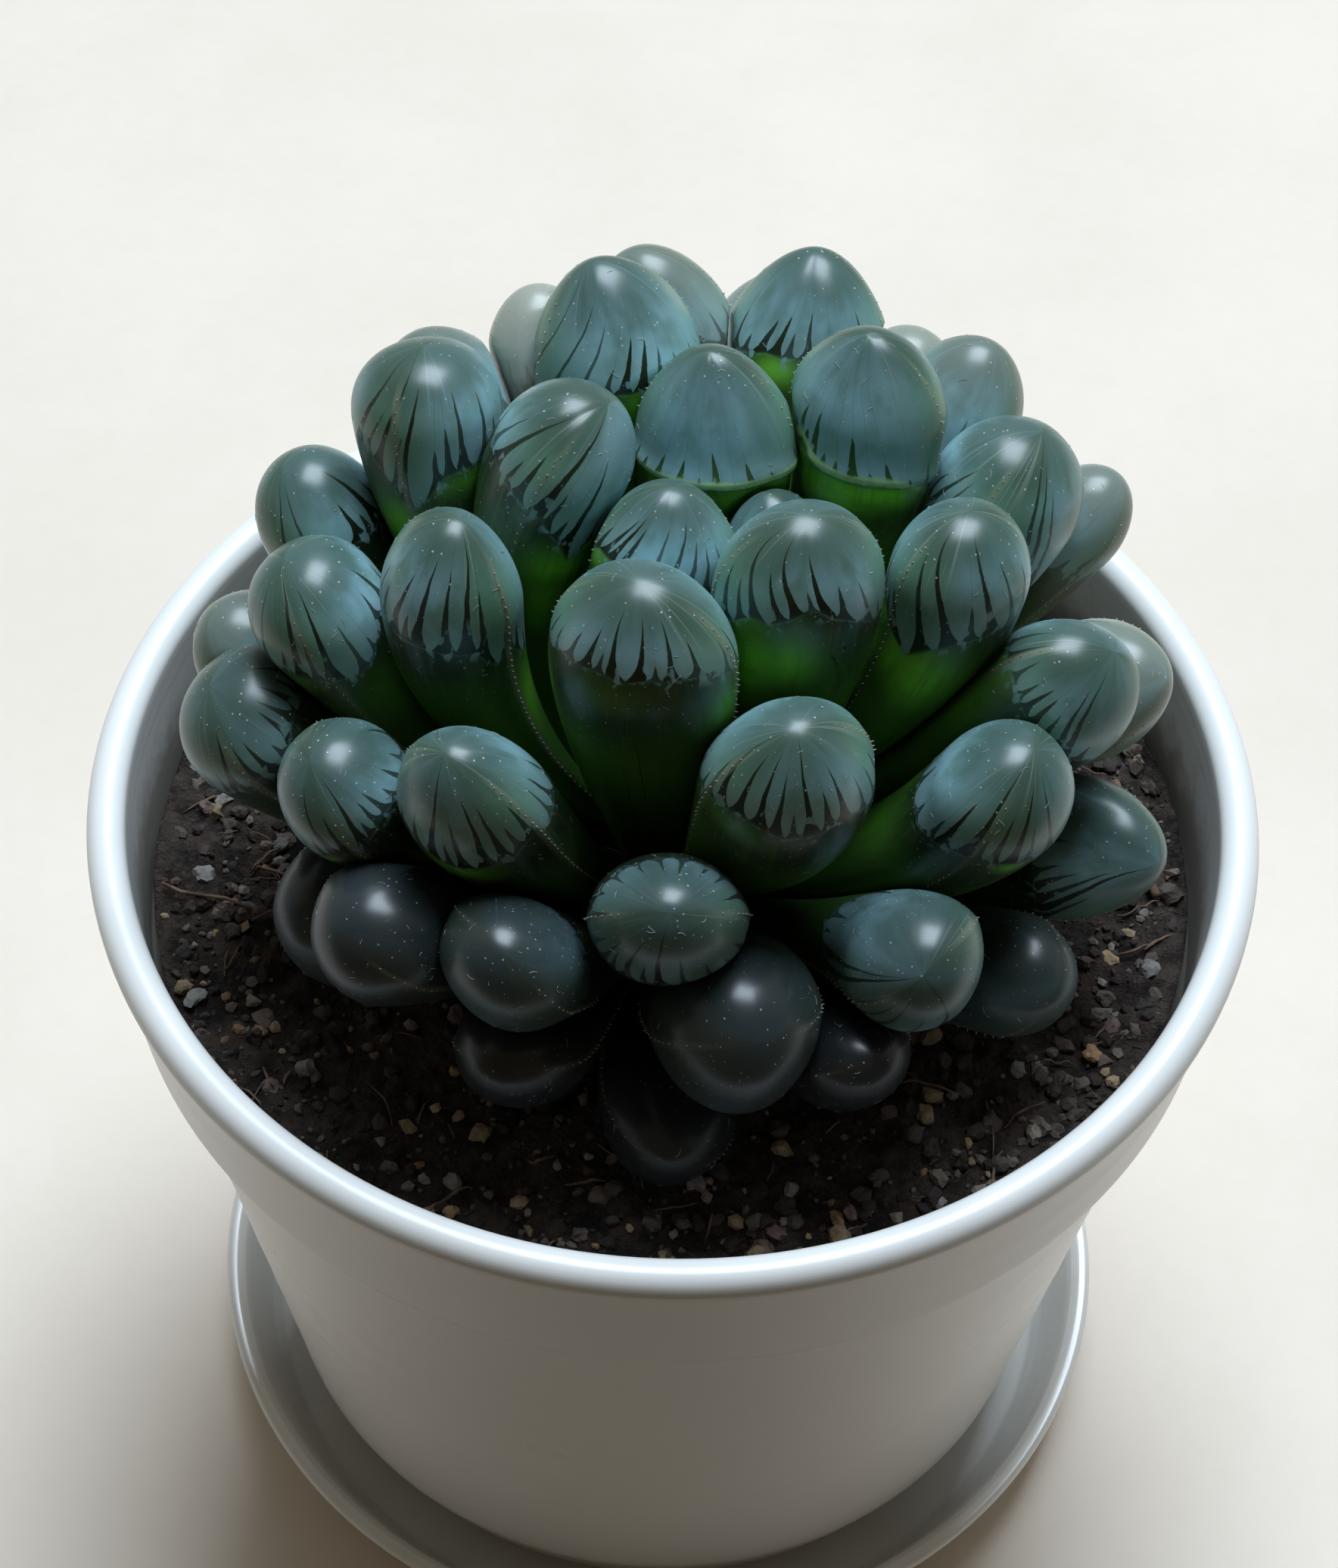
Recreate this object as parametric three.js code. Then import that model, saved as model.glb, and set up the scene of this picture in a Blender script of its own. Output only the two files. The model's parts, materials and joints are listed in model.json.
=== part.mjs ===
import * as THREE from 'three';
import { mergeVertices } from 'three/addons/utils/BufferGeometryUtils.js';

// A rosette of Haworthia cooperi var. obtusa in a round white pot that stands
// in a shallow white saucer. Millimetres, +Z up, the viewer stands on the -Y
// side. The origin is the middle of the saucer's underside.

// ---------------------------------------------------------------- pot
const POT_RIM_R = 45.0;          // outermost radius of the rolled rim
const POT_MOUTH_R = 41.9;        // inner edge of the rim
const POT_FOOT_Z = 1.9;          // underside of the foot, in the saucer
const POT_TOP_Z = 72.1;          // crown of the rim
const POT_FOOT_R = 29.4;         // outer radius of the foot ring
const COLLAR_BOTTOM_Z = 58.5;    // lower edge of the collar below the rim
const COLLAR_BOTTOM_R = 42.9;
const BODY_TOP_R = 41.3;         // body just below the collar
const BODY_LOW_R = 33.4;         // body just above the rounded foot
const BODY_LOW_Z = 11.5;
const POT_WALL = 1.7;            // wall thickness
const POT_FLOOR_Z = 5.6;         // inside floor
const POT_FOOT_HOLLOW_R = 25.6;  // the recess under the floor
const POT_FOOT_HOLLOW = 1.6;
const POT_SEGMENTS = 50;

// ---------------------------------------------------------------- saucer
const SAUCER_FLOOR = 1.6;        // thickness of the floor
const SAUCER_FOOT_R = 33.2;      // flat underside
const SAUCER_RIM_R = 38.7;       // outer radius of the rim
const SAUCER_RIM_Z = 8.0;        // top of the rim
const SAUCER_WALL = 1.2;
const SAUCER_SEGMENTS = 48;

// ---------------------------------------------------------------- soil, stem
const FIT_GAP = 0.3;             // clearance between neighbouring pieces
const SOIL_Z = 62.3;             // mean height of the soil surface
const SOIL_SWELL = 0.35;         // how far the surface rises and falls
const STEM_R = 6.9;              // stem at the soil
const STEM_TOP_R = 4.0;
const STEM_BOTTOM_Z = 57.0;
const STEM_TOP_Z = 76.4;
const STEM_SHOULDER_Z = 68.5;

// ---------------------------------------------------------------- leaves
const LEAF_SIDES = 12;           // vertices around a leaf
const LEAF_BASE = 0.46;          // width at the stem over the full width
const LEAF_TAPER = 1.5;          // how the width falls from the broadest place
const LEAF_THICK_BASE = 0.55;    // thickness over width at the stem
const LEAF_INNER_FLAT = 0.90;    // the inner face is flatter than the outer
const LEAF_GAP = 0.42;           // clearance between two leaves that press
const SOIL_CLEAR = 0.6;

// number, full width, thickness over width near the tip, how far the broad face
// is turned about the leaf (degrees), length of the rounded end over half the
// width, roundness of that end, and the four points of the curve from stem to tip
const LEAVES = [
  [1, 10.96, 0.929, -1.4, 1.443, 1.873, [-0.5, 6.8, 71.4], [0.54, 17.14, 79.3], [1.6, 24.98, 89.61], [-5.05, 27.87, 101.25]],
  [2, 13.04, 0.937, 9.3, 1.318, 1.684, [-2.2, 6.1, 72.4], [-3.19, 13.28, 82.59], [-3.31, 17.48, 94.92], [-7.4, 20.68, 106.89]],
  [3, 9.92, 0.93, 1.5, 1.426, 1.892, [-3.9, 5.6, 71], [-7.9, 14, 80], [-9.03, 18.98, 90.99], [-12.15, 24.42, 100.8]],
  [4, 13.51, 0.93, 6.4, 1.471, 1.768, [2.5, 6.8, 70.2], [5.97, 16, 78.72], [9.07, 24.12, 89.06], [9.39, 29.19, 101.13]],
  [5, 10.01, 0.93, -0.8, 1.396, 1.898, [1.6, 7.4, 68.4], [3.9, 18.2, 75.2], [5.98, 29.19, 83.88], [6.77, 35.82, 92.26]],
  [6, 9.95, 0.931, 2.1, 1.359, 1.948, [4.7, 5.7, 69.6], [10.2, 14.8, 76.9], [14.66, 20.7, 86.79], [17.54, 25.97, 96.3]],
  [7, 9.89, 0.936, 5, 1.367, 1.888, [5.9, 4, 70.4], [12.6, 11.03, 78.56], [17.51, 17.46, 88.78], [22.63, 20.37, 100.19]],
  [8, 11.58, 0.934, -2.3, 1.324, 1.938, [-5.5, 4.3, 70.9], [-11.67, 11.52, 78.77], [-16.07, 16.28, 89.3], [-20.38, 19.64, 99.94]],
  [9, 11.35, 0.994, 10, 0.909, 2.179, [-6.2, 2.5, 71.7], [-13.59, 5.38, 82.02], [-18.1, 7.02, 93.9], [-19.01, 11.52, 106.64]],
  [10, 11.13, 0.985, 36.5, 1.09, 1.91, [-6, 0.1, 73.7], [-11.28, 2.05, 84.87], [-13.58, 3.94, 96.84], [-5.56, 4.96, 108]],
  [11, 12.92, 0.895, -11.9, 1.644, 1.792, [1.9, 5.6, 74], [2.71, 9.13, 84.46], [2.77, 10.71, 95.5], [1.44, 11.68, 106.91]],
  [12, 12.02, 0.819, 16.7, 1.106, 1.671, [5.5, 2.9, 73.1], [10.87, 7.34, 85.03], [13.95, 11.09, 98.33], [12.8, 11.83, 109.02]],
  [13, 11.97, 0.983, -47.8, 1.046, 2.025, [6.9, 1.8, 70.3], [15.07, 5.38, 78.71], [20.84, 8.41, 89.59], [25.8, 10.79, 100.78]],
  [14, 8.1, 0.924, -1.6, 1.335, 1.935, [7.3, 2.7, 67.7], [16.67, 7.92, 74.1], [24.82, 12.86, 82.48], [32.72, 14.84, 92.1]],
  [15, 10.3, 0.976, -3.1, 1.274, 2.115, [-7.3, 1.3, 69.6], [-16.2, 4.29, 76.91], [-23.28, 7.04, 86.55], [-29.33, 8.68, 97.12]],
  [16, 10.52, 0.928, 0.5, 1.344, 1.923, [-1.7, -5.7, 73.9], [-2.02, -5.4, 84.65], [-1.56, -2.56, 94.98], [-0.86, -0.26, 105.27]],
  [17, 8.86, 0.934, -18.3, 1.363, 1.924, [6.3, -0.2, 72.7], [8.11, 1.96, 81.58], [6.61, 4.17, 90.43], [6.12, 5.6, 98.85]],
  [18, 12.01, 0.917, -46.2, 1.146, 1.999, [4.1, -4.6, 73.2], [7.21, -6.3, 84.5], [7.91, -5.56, 96.84], [8.56, -5.45, 108.2]],
  [19, 10.42, 0.99, -50.3, 1.077, 2.023, [6.4, -1.9, 71.8], [14.3, -3.04, 81.06], [19.49, -3.31, 92.13], [19.85, -1.47, 105.07]],
  [20, 10.6, 0.965, 35.8, 1.368, 1.828, [-5.7, -3.1, 72.3], [-13.15, -5.13, 82.2], [-17.89, -5.69, 93.37], [-15.45, -4.68, 105.87]],
  [21, 10.61, 0.985, -1.3, 1.038, 2.137, [-7.2, -1.7, 69.7], [-16.35, -2.43, 77.22], [-22.55, -3.02, 87.34], [-28.32, -1.77, 98.08]],
  [22, 13.51, 0.884, -4.2, 1.139, 1.968, [-0.8, -6.4, 72.3], [-1.85, -10.56, 83.6], [-2.34, -10.85, 96.41], [-2.82, -11.86, 107.82]],
  [23, 10.51, 0.934, -4.6, 1.338, 1.936, [-7.8, 1, 67.2], [-18.62, 0.75, 72.24], [-28.06, 2.81, 79.07], [-34.72, 1.18, 87.85]],
  [24, 11.76, 0.987, -5.1, 0.956, 2.109, [-7.6, -1.7, 66.3], [-17.91, -3.93, 71.62], [-26.69, -5.32, 79.4], [-33.77, -6.23, 89.17]],
  [25, 10.21, 0.963, -18.9, 1.071, 1.933, [-6.1, -4.9, 68.5], [-14.14, -9.93, 74.78], [-20.9, -13.75, 83.68], [-25.36, -16.54, 93.58]],
  [26, 11.36, 0.931, 4.5, 1.578, 1.888, [-3.5, -6.5, 69.7], [-8.75, -13.34, 77.56], [-12.85, -17.46, 87.98], [-15.62, -20.07, 99.11]],
  [27, 12.69, 0.916, -1.2, 1.272, 1.846, [2.3, -6.7, 70.5], [5.7, -13.43, 79.5], [8.07, -17.05, 91.03], [8.1, -19.47, 102.22]],
  [28, 10.98, 0.95, 12.7, 1.163, 1.932, [6, -4.8, 68.8], [14.5, -9.97, 75.14], [21.51, -14.18, 84.28], [24.78, -15.04, 95.55]],
  [29, 11.72, 0.899, -66.2, 1.158, 2.089, [7.4, -2.1, 68.8], [16.98, -3.6, 76.27], [24.05, -4.91, 86.53], [30.71, -6.06, 96.03]],
  [30, 10.64, 0.937, 3.2, 1.425, 1.854, [7.8, -0.6, 67.2], [17.73, 0.81, 73.3], [26.64, 2.92, 81.84], [35.77, -1.21, 88.14]],
  [31, 11.39, 0.92, 4.7, 1.562, 1.833, [7.4, -2.4, 65.1], [17.73, -3.93, 68.72], [27.42, -5.02, 75.14], [35.65, -11.79, 79.43]],
  [32, 11.19, 0.884, 3, 1.395, 1.873, [-0.1, -7.8, 68.3], [-0.3, -16.4, 75.04], [-0.26, -22.32, 84.74], [0, -28.64, 93.39]],
  [33, 10.44, 0.944, -0.9, 1.131, 1.837, [4, -6.7, 66.8], [11.26, -14.69, 71.79], [17.95, -20, 80.37], [17.56, -28.47, 86.97]],
  [34, 9.39, 0.944, 17.1, 1.103, 1.964, [5.9, -5.1, 65], [14.1, -10.36, 66.8], [22.59, -15.46, 70.86], [28.27, -20.98, 76.66]],
  [35, 10.82, 0.88, -17.4, 1.228, 1.859, [-2.4, -7.4, 67.1], [-6.93, -16.55, 72.05], [-11.17, -23.95, 80.03], [-11.4, -29.32, 89.16]],
  [36, 10.73, 1.008, -12, 1.073, 1.934, [-4.7, -6.2, 66.4], [-11.7, -13.58, 71.49], [-16.83, -20.89, 79.67], [-23.22, -25.65, 86.43]],
  [37, 11.87, 0.934, -11.3, 1.345, 1.923, [-5.9, -5.1, 65.4], [-15.03, -9.95, 67.94], [-23.38, -14.51, 73.54], [-26.25, -19.58, 80.28]],
  [38, 12.08, 1.117, 5.9, 1.296, 2.003, [1.2, -7.7, 65.6], [2.5, -16.59, 69.67], [3.39, -23.9, 77.09], [6.68, -32.2, 83.67]],
  [39, 10.64, 0.935, -5.6, 1.712, 1.892, [-0.2, -7.8, 63.9], [-0.15, -16.16, 64.03], [0.09, -24.62, 65.26], [0.66, -32.79, 68.94]],
  [40, 9.65, 0.932, 7.7, 1.422, 1.909, [-2.5, -7.4, 65], [-6.23, -15.84, 66.96], [-9.87, -23.83, 71.53], [-11.67, -31.06, 78.2]],
  [41, 9.12, 0.929, -0.1, 1.406, 1.899, [3.2, -7.1, 64.9], [7.41, -15.81, 66.71], [11.81, -23.99, 70.91], [14.75, -29.89, 78.71]],
  [42, 11.6, 0.93, 0, 1.4, 1.9, [-1.4, 7.7, 65.6], [-3.6, 16.4, 68.6], [-5.7, 23.7, 74.6], [-6.5, 28.6, 82.6]],
  [43, 12, 0.93, 0, 1.4, 1.9, [2.7, 7.3, 65.8], [6, 16.2, 68.5], [9, 23.5, 74.1], [11.4, 28.5, 82]],
  [44, 11.6, 0.93, 0, 1.4, 1.9, [5.8, 5.2, 65.4], [12.3, 11.2, 68.3], [18, 16.4, 74.4], [21.7, 19.8, 82.3]],
  [45, 11.6, 0.93, 0, 1.4, 1.9, [-4.9, 6.1, 65.5], [-10.6, 12.9, 68.6], [-15.5, 18.7, 74.8], [-18.4, 22.8, 82.7]],
  [46, 11.2, 0.93, 0, 1.4, 1.9, [-7.2, 3.1, 64.9], [-15.3, 6.2, 66.9], [-22.7, 9, 71.9], [-27.4, 11.6, 79]],
  [47, 10.8, 0.93, 0, 1.4, 1.9, [7.5, 2, 64.7], [16, 3.9, 65.9], [23.8, 5.5, 69.9], [29.1, 7.2, 76.8]],
  [48, 10.4, 0.93, 0, 1.4, 1.9, [0.3, 7.8, 64.2], [0.8, 15.9, 64], [1.3, 24.1, 66.5], [1.6, 29.6, 72.6]],
  [49, 10.4, 0.93, 0, 1.4, 1.9, [4.1, 6.6, 64.2], [8.5, 13.4, 63.8], [13, 20.3, 66.1], [16.1, 25, 72]],
  [50, 10.4, 0.93, 0, 1.4, 1.9, [-3.6, 6.9, 64.1], [-7.1, 14.2, 63.8], [-10.8, 21.5, 65.8], [-13.3, 26.7, 71.8]],
  [51, 9.6, 0.93, 0, 1.4, 1.9, [6.8, 3.9, 64.1], [13.2, 7.9, 63.9], [20.1, 12.3, 65.1], [24.9, 15.5, 70.5]],
  [52, 10, 0.93, 0, 1.4, 1.9, [-6.3, 4.6, 64], [-12.3, 9.5, 64.1], [-18.7, 14.7, 65.2], [-23.4, 18.6, 70.4]],
  [53, 9.6, 0.93, 0, 1.4, 1.9, [-7.8, 0.3, 64], [-15.3, 0.5, 63.8], [-23.3, 0.8, 65.4], [-28.7, 1, 70.9]],
];

const UP = new THREE.Vector3(0, 0, 1);
const smooth = (a, b, x) => {
  const t = Math.min(1, Math.max(0, (x - a) / (b - a)));
  return t * t * (3 - 2 * t);
};

function soilHeight(x, y) {
  return SOIL_Z + SOIL_SWELL * (0.6 * Math.sin(0.16 * x + 0.9) * Math.cos(0.13 * y - 0.4)
    + 0.4 * Math.sin(0.09 * x - 0.21 * y + 2.0));
}

function stemRadius(z) {
  if (z > STEM_TOP_Z) return 0;
  const t = smooth(STEM_SHOULDER_Z, STEM_TOP_Z, z);
  return STEM_R + (STEM_TOP_R - STEM_R) * t;
}

// One leaf: a curve from the stem to the tip, swollen towards the tip, thinner
// across than it is wide and flatter on the face turned to the rosette's middle.
class Leaf {
  constructor([number, width, thick, turn, cap, round, p0, p1, p2, p3]) {
    this.number = number;
    this.half = width / 2;
    this.thick = thick;
    this.round = round;
    this.curve = new THREE.CubicBezierCurve3(
      new THREE.Vector3(...p0), new THREE.Vector3(...p1),
      new THREE.Vector3(...p2), new THREE.Vector3(...p3));
    this.curve.arcLengthDivisions = 120;
    this.length = this.curve.getLength();
    this.capStart = 1 - cap * this.half / this.length;
    this.outward = new THREE.Vector3(p3[0] - 0.4 * p0[0], p3[1] - 0.4 * p0[1], 0)
      .normalize().applyAxisAngle(UP, THREE.MathUtils.degToRad(turn));
    this.samples = [];
    const n = 26;
    for (let i = 0; i < n; i++) {
      const s = 0.02 + 0.96 * i / (n - 1);
      const f = this.frame(s);
      const left = Math.max(0.25, (1 - s) * this.length);
      this.samples.push({ ...f, z: Math.min(f.a, f.out, left), mid: f.origin });
    }
  }

  // half width over the leaf's largest half width
  widthAt(s) {
    if (s >= this.capStart) {
      const t = (s - this.capStart) / (1 - this.capStart);
      return Math.pow(Math.max(0, 1 - Math.pow(t, this.round)), 1 / this.round);
    }
    const t = (this.capStart - s) / this.capStart;
    return 1 - (1 - LEAF_BASE) * Math.pow(t, LEAF_TAPER);
  }

  frame(s) {
    const origin = this.curve.getPointAt(Math.min(1, Math.max(0, s)));
    const along = this.curve.getTangentAt(Math.min(1, Math.max(0, s)));
    const across = new THREE.Vector3().crossVectors(along, this.outward);
    if (across.length() < 1e-3) across.crossVectors(along, UP);
    across.normalize();
    const outer = new THREE.Vector3().crossVectors(across, along).normalize();
    if (outer.dot(this.outward) < 0) outer.negate();
    const a = Math.max(1e-4, this.half * this.widthAt(s));
    const thick = LEAF_THICK_BASE + (this.thick - LEAF_THICK_BASE) * smooth(0.0, this.capStart, s);
    return { origin, along, across, outer, a, out: a * thick, in: a * thick * LEAF_INNER_FLAT };
  }

  // signed distance, negative inside the leaf, from its row of ellipsoids
  distance(p) {
    let best = Infinity;
    for (const q of this.samples) {
      const dx = p.x - q.mid.x, dy = p.y - q.mid.y, dz = p.z - q.mid.z;
      const d2 = dx * dx + dy * dy + dz * dz;
      const d = Math.sqrt(d2);
      if (d - q.a > best) continue;
      const u = (dx * q.across.x + dy * q.across.y + dz * q.across.z) / q.a;
      const w = (dx * q.outer.x + dy * q.outer.y + dz * q.outer.z);
      const v = w / (w > 0 ? q.out : q.in);
      const t = (dx * q.along.x + dy * q.along.y + dz * q.along.z) / q.z;
      const m = Math.sqrt(u * u + v * v + t * t);
      const sd = m < 1e-6 ? -q.in : d * (1 - 1 / m);
      if (sd < best) best = sd;
    }
    return best;
  }
}

const leaves = LEAVES.map((row) => new Leaf(row));

// How far a leaf may swell from its middle line towards a surface point before
// it meets the half-way face to a neighbour, the stem or the soil.
function allowed(leaf, neighbours, from, to) {
  const p = new THREE.Vector3();
  const clear = (k) => {
    p.lerpVectors(from, to, k);
    const own = leaf.distance(p);
    for (const other of neighbours) {
      if (other.distance(p) - own < LEAF_GAP) return false;
    }
    if (p.z < STEM_TOP_Z + FIT_GAP
      && Math.hypot(p.x, p.y) < stemRadius(Math.min(p.z, STEM_TOP_Z)) + FIT_GAP + 0.08) return false;
    return p.z > soilHeight(p.x, p.y) + SOIL_CLEAR;
  };
  if (clear(1)) return 1;
  let low = 0.04, high = 1;
  for (let i = 0; i < 12; i++) {
    const mid = 0.5 * (low + high);
    if (clear(mid)) low = mid; else high = mid;
  }
  return low;
}

// The leaf's surface is a turned profile carried onto its curve.
function leafGeometry(leaf) {
  const rings = [0, 0.14, 0.3, 0.46, 0.62, 0.76, 0.89].map((t) => t * leaf.capStart);
  for (const t of [0.0, 0.3, 0.56, 0.78, 0.94]) rings.push(leaf.capStart + t * (1 - leaf.capStart));
  const profile = [new THREE.Vector2(0, 0)];
  for (const s of rings) profile.push(new THREE.Vector2(leaf.widthAt(s), s));
  profile.push(new THREE.Vector2(0, 1));
  const turned = new THREE.LatheGeometry(profile, LEAF_SIDES);
  const near = leaves.filter((other) => other !== leaf
    && other.samples.some((q) => leaf.samples.some((r) => q.mid.distanceTo(r.mid) < q.a + r.a + 0.5)));
  const position = turned.attributes.position;
  const point = new THREE.Vector3();
  for (let i = 0; i < position.count; i++) {
    const s = position.getY(i);
    const cx = position.getX(i), cz = position.getZ(i);
    const f = leaf.frame(s);
    const r = Math.hypot(cx, cz);
    if (r < 1e-6) {
      position.setXYZ(i, f.origin.x, f.origin.y, f.origin.z);
      continue;
    }
    const c = cx / r, d = cz / r;
    const full = f.origin.clone()
      .addScaledVector(f.across, f.a * c)
      .addScaledVector(f.outer, (d > 0 ? f.out : f.in) * d);
    const k = allowed(leaf, near, f.origin, full);
    point.lerpVectors(f.origin, full, k);
    position.setXYZ(i, point.x, point.y, point.z);
  }
  return closed(turned);
}

// merge the seam and the poles, and make sure the faces point out
function closed(geometry) {
  const g = geometry.clone();
  g.deleteAttribute('normal');
  g.deleteAttribute('uv');
  const merged = mergeVertices(g, 1e-4);
  const p = merged.attributes.position;
  const index = Array.from(merged.index.array);
  const kept = [];
  let volume = 0;
  const a = new THREE.Vector3(), b = new THREE.Vector3(), c = new THREE.Vector3();
  for (let i = 0; i < index.length; i += 3) {
    const [i0, i1, i2] = [index[i], index[i + 1], index[i + 2]];
    if (i0 === i1 || i1 === i2 || i2 === i0) continue;
    kept.push(i0, i1, i2);
    a.fromBufferAttribute(p, i0); b.fromBufferAttribute(p, i1); c.fromBufferAttribute(p, i2);
    volume += a.dot(b.cross(c)) / 6;
  }
  if (volume < 0) {
    for (let i = 0; i < kept.length; i += 3) [kept[i + 1], kept[i + 2]] = [kept[i + 2], kept[i + 1]];
  }
  merged.setIndex(kept);
  merged.computeVertexNormals();
  return merged;
}

// profile points are [radius, height]; the lathe turns about Y, stood up to Z
function turned(points, segments) {
  const g = new THREE.LatheGeometry(points.map(([r, z]) => new THREE.Vector2(r, z)), segments);
  g.rotateX(Math.PI / 2);
  return closed(g);
}

function bodyRadius(z) {
  return BODY_LOW_R + (BODY_TOP_R - BODY_LOW_R) * (z - BODY_LOW_Z) / (COLLAR_BOTTOM_Z - BODY_LOW_Z);
}

function potGeometry() {
  const inner = (z) => bodyRadius(z) - POT_WALL;
  return turned([
    [0, POT_FOOT_Z + POT_FOOT_HOLLOW],
    [POT_FOOT_HOLLOW_R, POT_FOOT_Z + POT_FOOT_HOLLOW],
    [POT_FOOT_HOLLOW_R + 0.5, POT_FOOT_Z],
    [POT_FOOT_R - 0.5, POT_FOOT_Z],
    [POT_FOOT_R + 0.6, POT_FOOT_Z + 0.7],
    [31.4, 4.9],
    [32.6, 8.0],
    [BODY_LOW_R, BODY_LOW_Z],
    [BODY_TOP_R, COLLAR_BOTTOM_Z],
    [COLLAR_BOTTOM_R - 0.3, COLLAR_BOTTOM_Z - 0.15],
    [COLLAR_BOTTOM_R, COLLAR_BOTTOM_Z + 0.3],
    [44.15, 69.1],
    [44.45, 69.35],
    [44.8, 69.9],
    [POT_RIM_R, 70.6],
    [44.85, 71.3],
    [44.3, 71.9],
    [43.45, POT_TOP_Z],
    [42.6, 71.95],
    [42.1, 71.6],
    [POT_MOUTH_R, 71.0],
    [41.6, 67.5],
    [41.2, 63.0],
    [inner(COLLAR_BOTTOM_Z), COLLAR_BOTTOM_Z - 1.2],
    [inner(BODY_LOW_Z) - 0.2, BODY_LOW_Z],
    [29.6, 7.2],
    [28.0, POT_FLOOR_Z],
    [0, POT_FLOOR_Z],
  ], POT_SEGMENTS);
}

function saucerGeometry() {
  return turned([
    [0, 0],
    [SAUCER_FOOT_R, 0],
    [SAUCER_FOOT_R + 1.4, 0.55],
    [SAUCER_FOOT_R + 2.6, 1.9],
    [SAUCER_RIM_R - 0.85, SAUCER_RIM_Z - 1.3],
    [SAUCER_RIM_R - 0.15, SAUCER_RIM_Z - 0.9],
    [SAUCER_RIM_R, SAUCER_RIM_Z - 0.45],
    [SAUCER_RIM_R - 0.25, SAUCER_RIM_Z],
    [SAUCER_RIM_R - 1.1, SAUCER_RIM_Z],
    [SAUCER_RIM_R - 0.95 - SAUCER_WALL, SAUCER_RIM_Z - 0.9],
    [SAUCER_FOOT_R + 1.5, 2.6],
    [SAUCER_FOOT_R + 0.5, SAUCER_FLOOR],
    [0, SAUCER_FLOOR],
  ], SAUCER_SEGMENTS);
}

// a plug of soil with a gently uneven top and a well for the stem
function soilGeometry() {
  const wall = (z) => bodyRadius(z) - POT_WALL - FIT_GAP;
  const well = STEM_R + FIT_GAP;
  const g = new THREE.LatheGeometry([
    [0, POT_FLOOR_Z + FIT_GAP],
    [27.6, POT_FLOOR_Z + FIT_GAP],
    [29.2, 7.6],
    [wall(BODY_LOW_Z) - 0.2, BODY_LOW_Z],
    [wall(COLLAR_BOTTOM_Z) - 0.15, COLLAR_BOTTOM_Z - 1.2],
    [40.6, SOIL_Z],
    [33, SOIL_Z],
    [24, SOIL_Z],
    [15, SOIL_Z],
    [well, SOIL_Z],
    [well, STEM_BOTTOM_Z - FIT_GAP],
    [0, STEM_BOTTOM_Z - FIT_GAP],
  ].map(([r, z]) => new THREE.Vector2(r, z)), 44);
  g.rotateX(Math.PI / 2);
  const p = g.attributes.position;
  for (let i = 0; i < p.count; i++) {
    if (Math.abs(p.getZ(i) - SOIL_Z) < 1e-6) p.setZ(i, soilHeight(p.getX(i), p.getY(i)));
  }
  return closed(g);
}

function stemGeometry() {
  const points = [[0, STEM_BOTTOM_Z], [STEM_R - 0.8, STEM_BOTTOM_Z], [STEM_R, STEM_BOTTOM_Z + 1]];
  for (const z of [63, 68.5, 70.5, 72.5, 74.5]) points.push([stemRadius(z), z]);
  points.push([STEM_TOP_R * 0.97, STEM_TOP_Z - 0.9], [STEM_TOP_R * 0.7, STEM_TOP_Z - 0.1], [0, STEM_TOP_Z]);
  return turned(points, 24);
}

const whitePlastic = { roughness: 0.28, metalness: 0 };
const scene = new THREE.Group();
scene.name = 'potted_haworthia_obtusa';

function add(name, geometry, colour, roughness, metalness = 0) {
  const mesh = new THREE.Mesh(geometry,
    new THREE.MeshStandardMaterial({ color: colour, roughness, metalness }));
  mesh.name = name;
  scene.add(mesh);
  return mesh;
}

add('saucer', saucerGeometry(), '#cdc8bd', whitePlastic.roughness);
add('pot', potGeometry(), '#d6d3ce', whitePlastic.roughness);
add('soil', soilGeometry(), '#2a2522', 0.95);
add('stem', stemGeometry(), '#2e3d1c', 0.6);

for (const leaf of leaves) {
  const tip = leaf.curve.v3;
  const low = tip.y < 0 ? smooth(92, 78, tip.z) : 0;
  const colour = new THREE.Color('#53706a').lerp(new THREE.Color('#232b28'), 0.8 * low);
  add(`leaf_${String(leaf.number).padStart(2, '0')}`, leafGeometry(leaf), colour, 0.32);
}

export default scene;
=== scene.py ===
import json
import math

import bpy
import numpy as np
from mathutils import Matrix, Vector, noise as mnoise
from mathutils.bvhtree import BVHTree

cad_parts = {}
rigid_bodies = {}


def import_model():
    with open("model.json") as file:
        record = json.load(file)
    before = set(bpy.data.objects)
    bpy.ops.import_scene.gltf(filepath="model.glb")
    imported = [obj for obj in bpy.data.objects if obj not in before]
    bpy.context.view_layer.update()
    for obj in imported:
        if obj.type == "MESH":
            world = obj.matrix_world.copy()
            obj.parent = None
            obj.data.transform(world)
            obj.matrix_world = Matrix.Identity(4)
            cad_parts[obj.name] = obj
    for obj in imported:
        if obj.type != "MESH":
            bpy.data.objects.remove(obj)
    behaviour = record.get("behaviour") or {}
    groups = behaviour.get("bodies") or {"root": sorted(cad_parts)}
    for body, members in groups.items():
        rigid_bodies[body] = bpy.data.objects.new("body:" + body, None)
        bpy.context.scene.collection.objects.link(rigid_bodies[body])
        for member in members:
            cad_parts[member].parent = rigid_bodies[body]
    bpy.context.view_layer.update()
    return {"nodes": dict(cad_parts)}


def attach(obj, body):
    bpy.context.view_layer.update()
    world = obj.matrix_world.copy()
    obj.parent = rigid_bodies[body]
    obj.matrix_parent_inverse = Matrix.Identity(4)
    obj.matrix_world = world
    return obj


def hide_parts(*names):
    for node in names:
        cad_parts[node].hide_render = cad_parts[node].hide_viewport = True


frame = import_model()
MM = 0.001

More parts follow.
